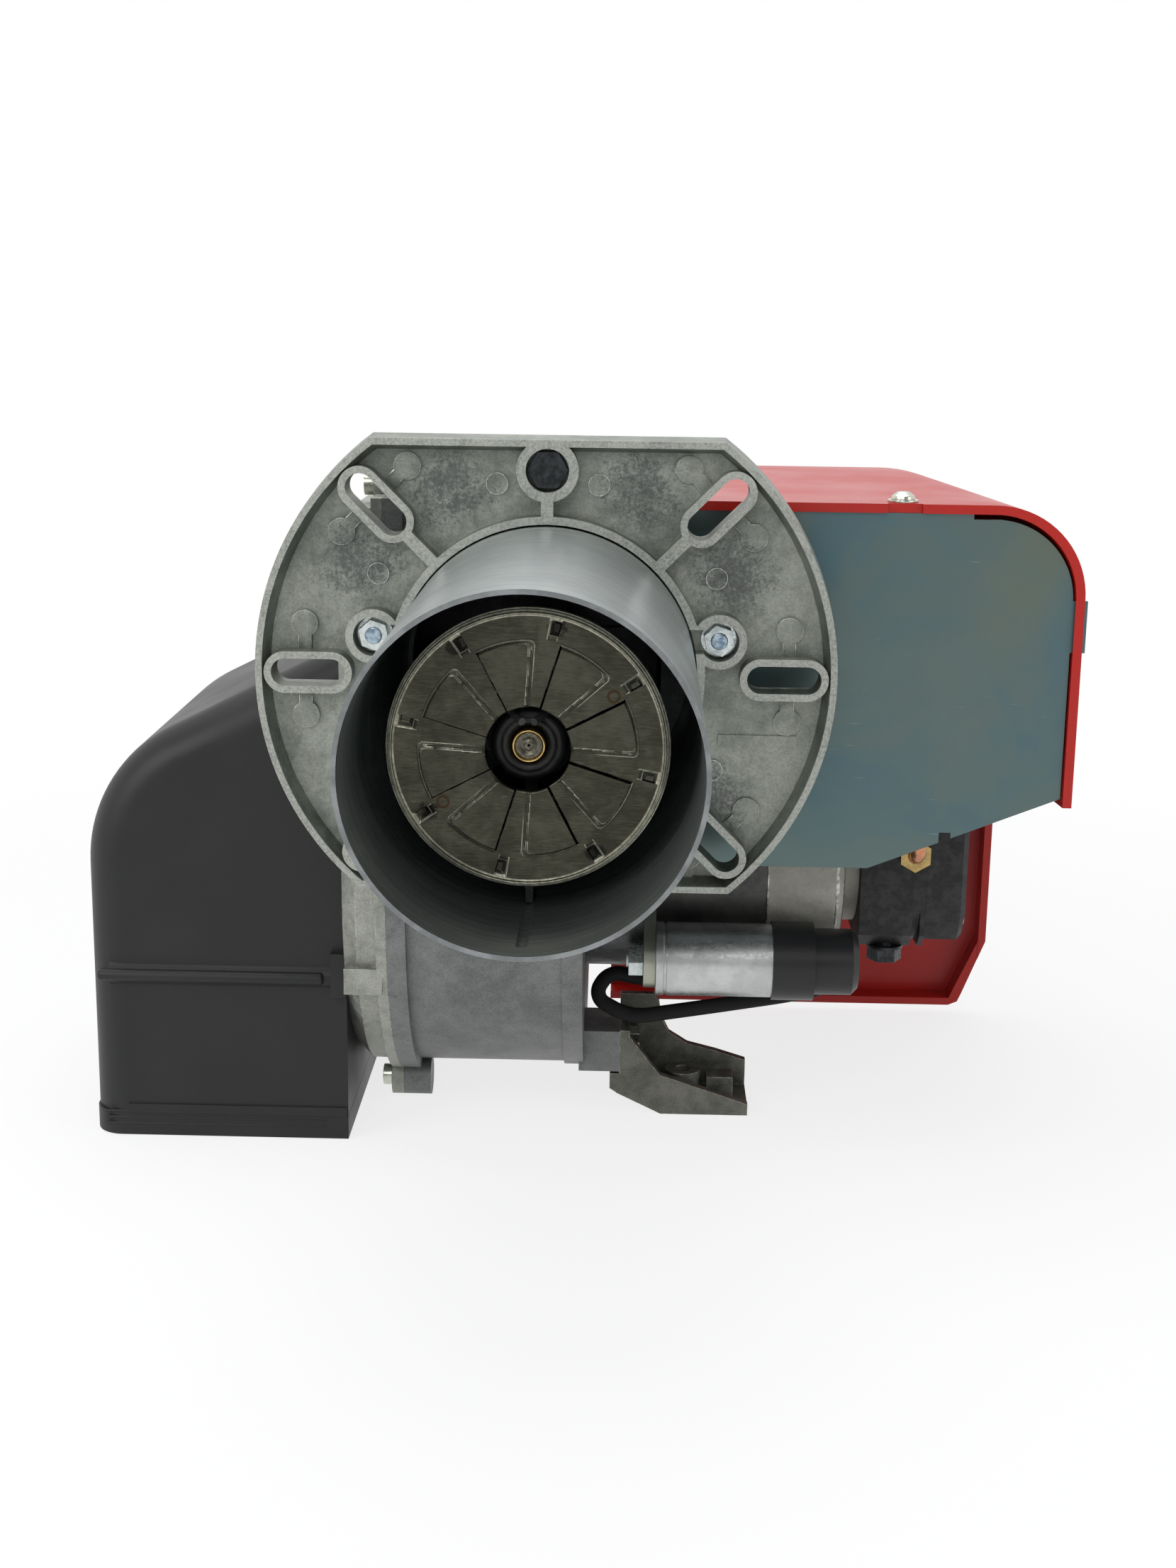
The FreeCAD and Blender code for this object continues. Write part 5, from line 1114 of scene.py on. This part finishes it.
@dataclass
class FlangePads:
    """Low pads that the die leaves on the flange's web: keyhole pads by the slots and round pads between."""

    head_r: float = 4.9 * MM
    head_out: float = 87.9 * MM
    head_side: float = 16.8 * MM
    tail: float = 2.6 * MM
    wall_side: float = 7.4 * MM
    height: float = 1.6 * MM
    pad_r: float = 4.0 * MM
    pad_out: float = 70.5 * MM
    pad_height: float = 1.0 * MM
    slot_angles: tuple[int, ...] = (0, 45, 135, 180, 225, 315)
    pad_angles: tuple[int, ...] = (-30, 30, 75, 105, 150, 210)
    web: float = 9.0 * MM
    corners: int = 48

    def keyhole(self, side: int, casting: bpy.types.Material, worn: bpy.types.Material) -> Piece:
        """Models one keyhole pad beside the slot along +X.

        Args:
            side: 1 above the slot, -1 below it.
            casting: The flange's finish.
            worn: The finish of its rubbed edges.

        Returns:
            The pad.
        """
        bpy.ops.object.select_all(action="DESELECT")
        bpy.ops.mesh.primitive_cylinder_add(
            vertices=self.corners, radius=self.head_r, depth=self.height + 0.2 * MM, rotation=(math.pi / 2, 0, 0),
            location=(self.head_out, self.web - self.height / 2 + 0.1 * MM, side * self.head_side))
        piece = bpy.context.active_object
        Bench.apply_place(piece)
        Bench.select_faces(piece, lambda centre, normal: -side * normal.z > 0.3 and abs(normal.y) < 0.5
                           and abs(centre.x - self.head_out) < self.tail)
        bpy.ops.object.mode_set(mode="EDIT")
        target = side * self.wall_side
        bpy.ops.mesh.extrude_region_move()
        bpy.ops.transform.resize(value=(1.0, 1.0, 0.0), center_override=(self.head_out, self.web, target))
        bpy.ops.object.mode_set(mode="OBJECT")
        Bench.paint(piece, casting)
        piece.data.materials.append(worn)
        Bench.rounded(piece, 0.35 * MM, 2, 40.0, worn=1)
        return piece

    def build(self, casting: bpy.types.Material, worn: bpy.types.Material) -> None:
        """Builds all the pads as one piece.

        Args:
            casting: The flange's finish.
            worn: The finish of their rubbed edges.
        """
        pads = []
        for side in (-1, 1):
            first = self.keyhole(side, casting, worn)
            for angle in self.slot_angles:
                pad = Bench.copy(first, f"keyhole_pad_{side}_{angle}")
                Bench.turn(pad, "Y", -angle)
                pads.append(pad)
            bpy.data.objects.remove(first)
        for angle in self.pad_angles:
            bpy.ops.object.select_all(action="DESELECT")
            place = math.radians(angle)
            bpy.ops.mesh.primitive_cylinder_add(
                vertices=self.corners, radius=self.pad_r, depth=self.pad_height + 0.2 * MM,
                rotation=(math.pi / 2, 0, 0),
                location=(self.pad_out * math.cos(place), self.web - self.pad_height / 2 + 0.1 * MM,
                          self.pad_out * math.sin(place)))
            pad = bpy.context.active_object
            Bench.apply_place(pad)
            Bench.select_faces(pad, lambda centre, normal: normal.y < -0.9)
            bpy.ops.object.mode_set(mode="EDIT")
            bpy.ops.mesh.inset(thickness=0.45 * MM)
            bpy.ops.transform.translate(value=(0.0, 0.18 * MM, 0.0))
            bpy.ops.object.mode_set(mode="OBJECT")
            Bench.paint(pad, casting)
            pad.data.materials.append(worn)
            Bench.rounded(pad, 0.22 * MM, 2, 30.0, worn=1)
            pads.append(pad)
        piece = Bench.joined(pads, "flange_pads")
        Bench.smooth(piece, 38.0)
        Bench.mount(piece, Body.BURNER, Slot.FLANGE)


@dataclass
class BoxRidges:
    """The crisp ridges on the front of the air inlet box: one half-round, and three thin ones at its foot."""

    side_gap: float = 7.0 * MM
    round_r: float = 2.6 * MM
    round_place: float = -131.5 * MM
    thin: float = 0.55 * MM
    thin_pitch: float = 2.5 * MM
    thin_top: float = -189.9 * MM
    thin_back: float = 0.3 * MM

    def bar(self, radius: float, sides: int, height: float, front: float) -> Piece:
        """Models one ridge along X.

        Args:
            radius: Its radius.
            sides: Its number of sides.
            height: Its place along Z.
            front: Its axis along Y.

        Returns:
            The ridge.
        """
        low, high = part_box("air_box")
        bpy.ops.object.select_all(action="DESELECT")
        bpy.ops.mesh.primitive_cylinder_add(
            vertices=sides, radius=radius, depth=high[0] - low[0] - 2 * self.side_gap, rotation=(0, math.pi / 2, 0),
            location=((low[0] + high[0]) / 2 - 2 * MM, front, height))
        piece = bpy.context.active_object
        Bench.apply_place(piece)
        Bench.rounded(piece, radius * 0.5, 3, 60.0)
        return piece

    def build(self, plastic: bpy.types.Material) -> None:
        """Builds the ridges as one piece.

        Args:
            plastic: The box's finish.
        """
        front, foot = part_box("air_box")[0][1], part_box("air_box_base")[0][1]
        bars = [self.bar(self.round_r, 40, self.round_place, front + self.round_r * 0.9)]
        for index in range(3):
            height = self.thin_top - index * self.thin_pitch
            bars.append(self.bar(self.thin, 16, height, foot + self.thin_back))
        piece = Bench.joined(bars, "air_box_ridges")
        Bench.smooth(piece, 40.0)
        Bench.paint(piece, plastic)
        Bench.mount(piece, Body.BURNER, Slot.BLACK_PLASTIC)


@dataclass(frozen=True)
class Studio:
    """The camera at the photograph's place, soft lamps and a pale floor."""

    camera_place: tuple[float, float, float] = (0.0300, -0.7366, 0.1311)
    right: tuple[float, float, float] = (0.99966, 0.02235, 0.01360)
    up: tuple[float, float, float] = (-0.01829, 0.22513, 0.97415)
    ahead: tuple[float, float, float] = (-0.01870, 0.97407, -0.22546)
    lens: float = 47.65
    floor_z: float = -0.2002
    room_glow: float = 0.22
    near_glow: float = 0.78
    shadow_reach: float = 0.75

    def camera(self) -> None:
        """Creates the scene's camera."""
        data = bpy.data.cameras.new("photo_camera")
        data.lens = self.lens
        data.sensor_width = 36.0
        data.clip_start = 0.05
        data.clip_end = 20.0
        camera = bpy.data.objects.new("photo_camera", data)
        bpy.context.scene.collection.objects.link(camera)
        turn = Matrix((self.right, self.up, tuple(-a for a in self.ahead))).transposed()
        camera.matrix_world = Matrix.Translation(self.camera_place) @ turn.to_4x4()
        bpy.context.scene.camera = camera

    def lamp(self, name: str, place: Sequence[float], target: Sequence[float], size: float, power: float,
             tint: Colour = (1.0, 1.0, 1.0)) -> None:
        """Adds a soft square lamp.

        Args:
            name: Its name.
            place: Where it stands.
            target: What it points at.
            size: Side length in metres.
            power: Power in watts.
            tint: Its colour.
        """
        data = bpy.data.lights.new(name, "AREA")
        data.size = size
        data.energy = power
        data.color = tint
        lamp = bpy.data.objects.new(name, data)
        bpy.context.scene.collection.objects.link(lamp)
        lamp.location = place
        lamp.rotation_euler = (Vector(target) - Vector(place)).to_track_quat("-Z", "Y").to_euler()

    def lamps(self) -> None:
        """Sets up the lamps and the world."""
        self.lamp("top_lamp", (-0.10, 0.15, 1.35), (0.0, 0.05, 0.0), 1.3, 15.0)
        self.lamp("left_lamp", (-1.25, -0.95, 0.65), (0.0, 0.0, 0.0), 0.9, 11.0)
        self.lamp("right_lamp", (1.35, -0.75, 0.45), (0.0, 0.0, 0.0), 0.8, 4.0)
        self.lamp("front_lamp", (-0.25, -1.7, 0.95), (0.0, 0.0, -0.05), 0.9, 8.0)
        world = bpy.data.worlds.new("studio_world")
        bpy.context.scene.world = world
        world.use_nodes = True
        tree = world.node_tree
        tree.nodes.clear()
        path = tree.nodes.new("ShaderNodeLightPath")
        seen_by = tree.nodes.new("ShaderNodeMath")
        seen_by.operation = "MAXIMUM"
        through = tree.nodes.new("ShaderNodeMath")
        through.operation = "MAXIMUM"
        tree.links.new(path.outputs["Is Camera Ray"], seen_by.inputs[0])
        tree.links.new(path.outputs["Is Glossy Ray"], seen_by.inputs[1])
        tree.links.new(seen_by.outputs[0], through.inputs[0])
        tree.links.new(path.outputs["Is Transmission Ray"], through.inputs[1])
        lit = tree.nodes.new("ShaderNodeBackground")
        lit.inputs["Color"].default_value = (0.94, 0.97, 1.0, 1.0)
        lit.inputs["Strength"].default_value = 0.42
        seen = tree.nodes.new("ShaderNodeBackground")
        seen.inputs["Color"].default_value = (1.0, 1.0, 1.0, 1.0)
        direction = tree.nodes.new("ShaderNodeTexCoord")
        split = tree.nodes.new("ShaderNodeSeparateXYZ")
        tree.links.new(direction.outputs["Generated"], split.inputs[0])
        room = tree.nodes.new("ShaderNodeMapRange")
        room.interpolation_type = "SMOOTHSTEP"
        room.inputs["From Min"].default_value = -0.45
        room.inputs["From Max"].default_value = 0.10
        room.inputs["To Min"].default_value = self.room_glow
        room.inputs["To Max"].default_value = 1.0
        tree.links.new(split.outputs["Y"], room.inputs["Value"])
        tree.links.new(room.outputs["Result"], seen.inputs["Strength"])
        mix = tree.nodes.new("ShaderNodeMixShader")
        output = tree.nodes.new("ShaderNodeOutputWorld")
        tree.links.new(through.outputs[0], mix.inputs[0])
        tree.links.new(lit.outputs[0], mix.inputs[1])
        tree.links.new(seen.outputs[0], mix.inputs[2])
        tree.links.new(mix.outputs[0], output.inputs["Surface"])

    def floor(self) -> None:
        """Lays the pale floor, which stays near white to the camera and keeps the shadow."""
        bpy.ops.object.select_all(action="DESELECT")
        bpy.ops.mesh.primitive_plane_add(size=60.0, location=(0.0, 0.0, self.floor_z))
        floor = Bench.named(bpy.context.active_object, "studio_floor")
        Bench.apply_place(floor)
        s = Shader("pale_floor")
        path = s.add("ShaderNodeLightPath")
        matt = s.add("ShaderNodeBsdfDiffuse")
        matt.inputs["Color"].default_value = (0.86, 0.86, 0.86, 1.0)
        glow = s.add("ShaderNodeEmission")
        glow.inputs["Color"].default_value = (1.0, 1.0, 1.0, 1.0)
        away = s.distance((0.0, 0.15, self.floor_z))
        pale = s.span(away, 0.25, self.shadow_reach, self.near_glow, 1.0)
        seen = s.math("MAXIMUM", path.outputs["Is Camera Ray"], path.outputs["Is Glossy Ray"])
        seen = s.math("MAXIMUM", seen, path.outputs["Is Transmission Ray"])
        share = s.math("MULTIPLY", seen, pale)
        mix = s.add("ShaderNodeMixShader")
        s.feed(mix.inputs[0], share)
        s.tree.links.new(matt.outputs[0], mix.inputs[1])
        s.tree.links.new(glow.outputs[0], mix.inputs[2])
        output = s.add("ShaderNodeOutputMaterial")
        s.tree.links.new(mix.outputs[0], output.inputs["Surface"])
        Bench.paint(floor, s.material)

    def build(self) -> None:
        """Builds the whole studio."""
        self.camera()
        self.lamps()
        self.floor()
        bpy.context.scene.view_settings.view_transform = "Standard"


@dataclass
class Burner:
    """The whole burner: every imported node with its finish."""

    palette: Palette = field(default_factory=Palette)
    bare_edges: tuple[str, ...] = ("mounting_flange", "flange_nuts")
    rubbed_edges: tuple[str, ...] = ("foot_bracket", "casing_left", "motor_end_shield")

    def dressed(self) -> None:
        """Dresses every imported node."""
        p = self.palette
        burner, rotor, damper, head = Body.BURNER, Body.ROTOR, Body.DAMPER, Body.HEAD
        groups: list[tuple[object, Slot, Body, dict[str, float]]] = [
            (p.flange, Slot.FLANGE, burner, {"mounting_flange": 0.55}),
            (p.tube, Slot.TUBE, burner, {"blast_tube": 0.2}),
            (p.soot_black, Slot.DISC, head, {"disc_carrier": 0.2}),
            (p.casing, Slot.CASING, burner, {
                "casing_right": 0.9, "rear_cover": 0.5, "motor_nose": 0.8}),
            (p.casing_light, Slot.CASING, burner, {"casing_left": 0.9}),
            (p.foot, Slot.CASING, burner, {"foot_bracket": 0.8}),
            (p.motor_cast, Slot.MOTOR_CAST, burner, {"motor_end_shield": 0.8, "pump_hub": 0.4}),
            (p.motor_dark, Slot.DARK_STEEL, burner, {"motor_stator": 0.4}),
            (p.winding, Slot.WINDING, burner, {"motor_windings": 0.4}),
            (p.bright, Slot.BRIGHT_STEEL, burner, {"motor_bearings": 0.3}),
            (p.bright, Slot.BRIGHT_STEEL, rotor, {"motor_shaft": 0.3, "rotor_core": 0.3, "pump_shaft": 0.3}),
            (p.black, Slot.BLACK_PLASTIC, rotor, {"drive_coupling": 0.3}),
            (p.zinc_sheet, Slot.ZINC_PLATE, rotor, {"fan_wheel": 0.0}),
            (p.pump, Slot.PUMP, burner, {"pump_body": 0.6, "pump_cover": 0.6}),
            (p.stud_blue, Slot.ZINC_FASTENER, burner, {"flange_studs": 0.5}),
            (p.nut_zinc, Slot.ZINC_FASTENER, burner, {"flange_nuts": 0.35, "capacitor_nut": 0.25}),
            (p.zinc, Slot.ZINC_FASTENER, burner, {
                "casing_screws": 0.2, "pan_head_screws": 0.3,
                "motor_screws": 0.2, "pump_screws": 0.2, "pump_port_caps": 0.3,
                "foot_screws": 0.2, "hood_screw": 0.2}),
            (p.black_fastener, Slot.BLACK_FASTENER, burner, {"flange_bolt": 0.3, "pump_drain_plug": 0.3}),
            (p.brass, Slot.BRASS, burner, {"valve_stem": 0.2, "pipe_unions": 0.2}),
            (p.brass, Slot.BRASS, Body.SETTING_SCREW, {"head_screw": 0.2}),
            (p.copper, Slot.COPPER, burner, {"oil_pipe": 0.0}),
            (p.can, Slot.CAN, burner, {"capacitor_can": 0.5}),
            (p.cap, Slot.BLACK_PLASTIC, burner, {"capacitor_cap": 0.6, "photocell": 0.4, "valve_coil": 0.6,
                                                 "control_box": 0.8}),
            (p.rubber, Slot.RUBBER, burner, {"capacitor_lead": 0.0}),
            (p.zinc_sheet, Slot.ZINC_PLATE, burner, {
                "capacitor_bracket": 0.3, "electrical_shelf": 0.2}),
            (p.hood_sheet, Slot.ZINC_PLATE, burner, {"hood_plate": 0.2}),
            (p.black, Slot.BLACK_PLASTIC, burner, {"air_box": 0.6, "air_box_base": 0.5}),
            (p.zinc_sheet, Slot.ZINC_PLATE, damper, {"damper_flap": 0.2}),
            (p.bright, Slot.BRIGHT_STEEL, damper, {"damper_shaft": 0.2}),
            (p.black, Slot.BLACK_PLASTIC, damper, {"damper_knob": 0.5}),
            (p.hood, Slot.HOOD, burner, {"hood": 0.7}),
            (p.hood, Slot.HOOD, Body.RESET, {"reset_button": 0.4}),
            (p.grey, Slot.GREY_PLASTIC, burner, {"control_box_base": 0.6, "ignition_transformer": 0.8}),
            (p.soot_black, Slot.BRIGHT_STEEL, head, {"nozzle_line": 0.3}),
            (p.motor_dark, Slot.BRIGHT_STEEL, head, {"electrode_rods": 0.0}),
            (p.porcelain, Slot.PORCELAIN, head, {"electrode_insulators": 0.3}),
            (p.zinc_sheet, Slot.ZINC_PLATE, head, {"electrode_clamp": 0.3}),
        ]
        worn, rubbed_and_highlight, cut_end = p.worn_edge.material(), p.rubbed_edge.material(), p.cut_end.material()
        for finish, slot, body, nodes in groups:
            material = finish.material()
            for node, rounding in nodes.items():
                edge = worn if node in self.bare_edges else rubbed_and_highlight if node in self.rubbed_edges else None
                piece = DressedNode(node, body, slot, rounding * MM).build(material, edge)
                if node == "blast_tube":
                    Bench.second_finish(piece, cut_end, lambda centre, normal: normal.y < -0.9)

    def build(self) -> None:
        """Builds every sub-assembly in order."""
        p = self.palette
        SwirlDisc().build(p.disc.material(), p.disc_highlight.material())
        NozzleFront().build(p.ring_brass.material(), p.nozzle_face.material(), p.soot_black.material())
        FlangePads().build(p.flange.material(), p.worn_edge.material())
        BoxRidges().build(p.black.material())
        self.dressed()


def main() -> None:
    """Builds the studio and the burner."""
    logging.basicConfig(level=logging.INFO, format="%(name)s %(message)s")
    Studio().build()
    Burner().build()


if __name__ == "__main__":
    main()
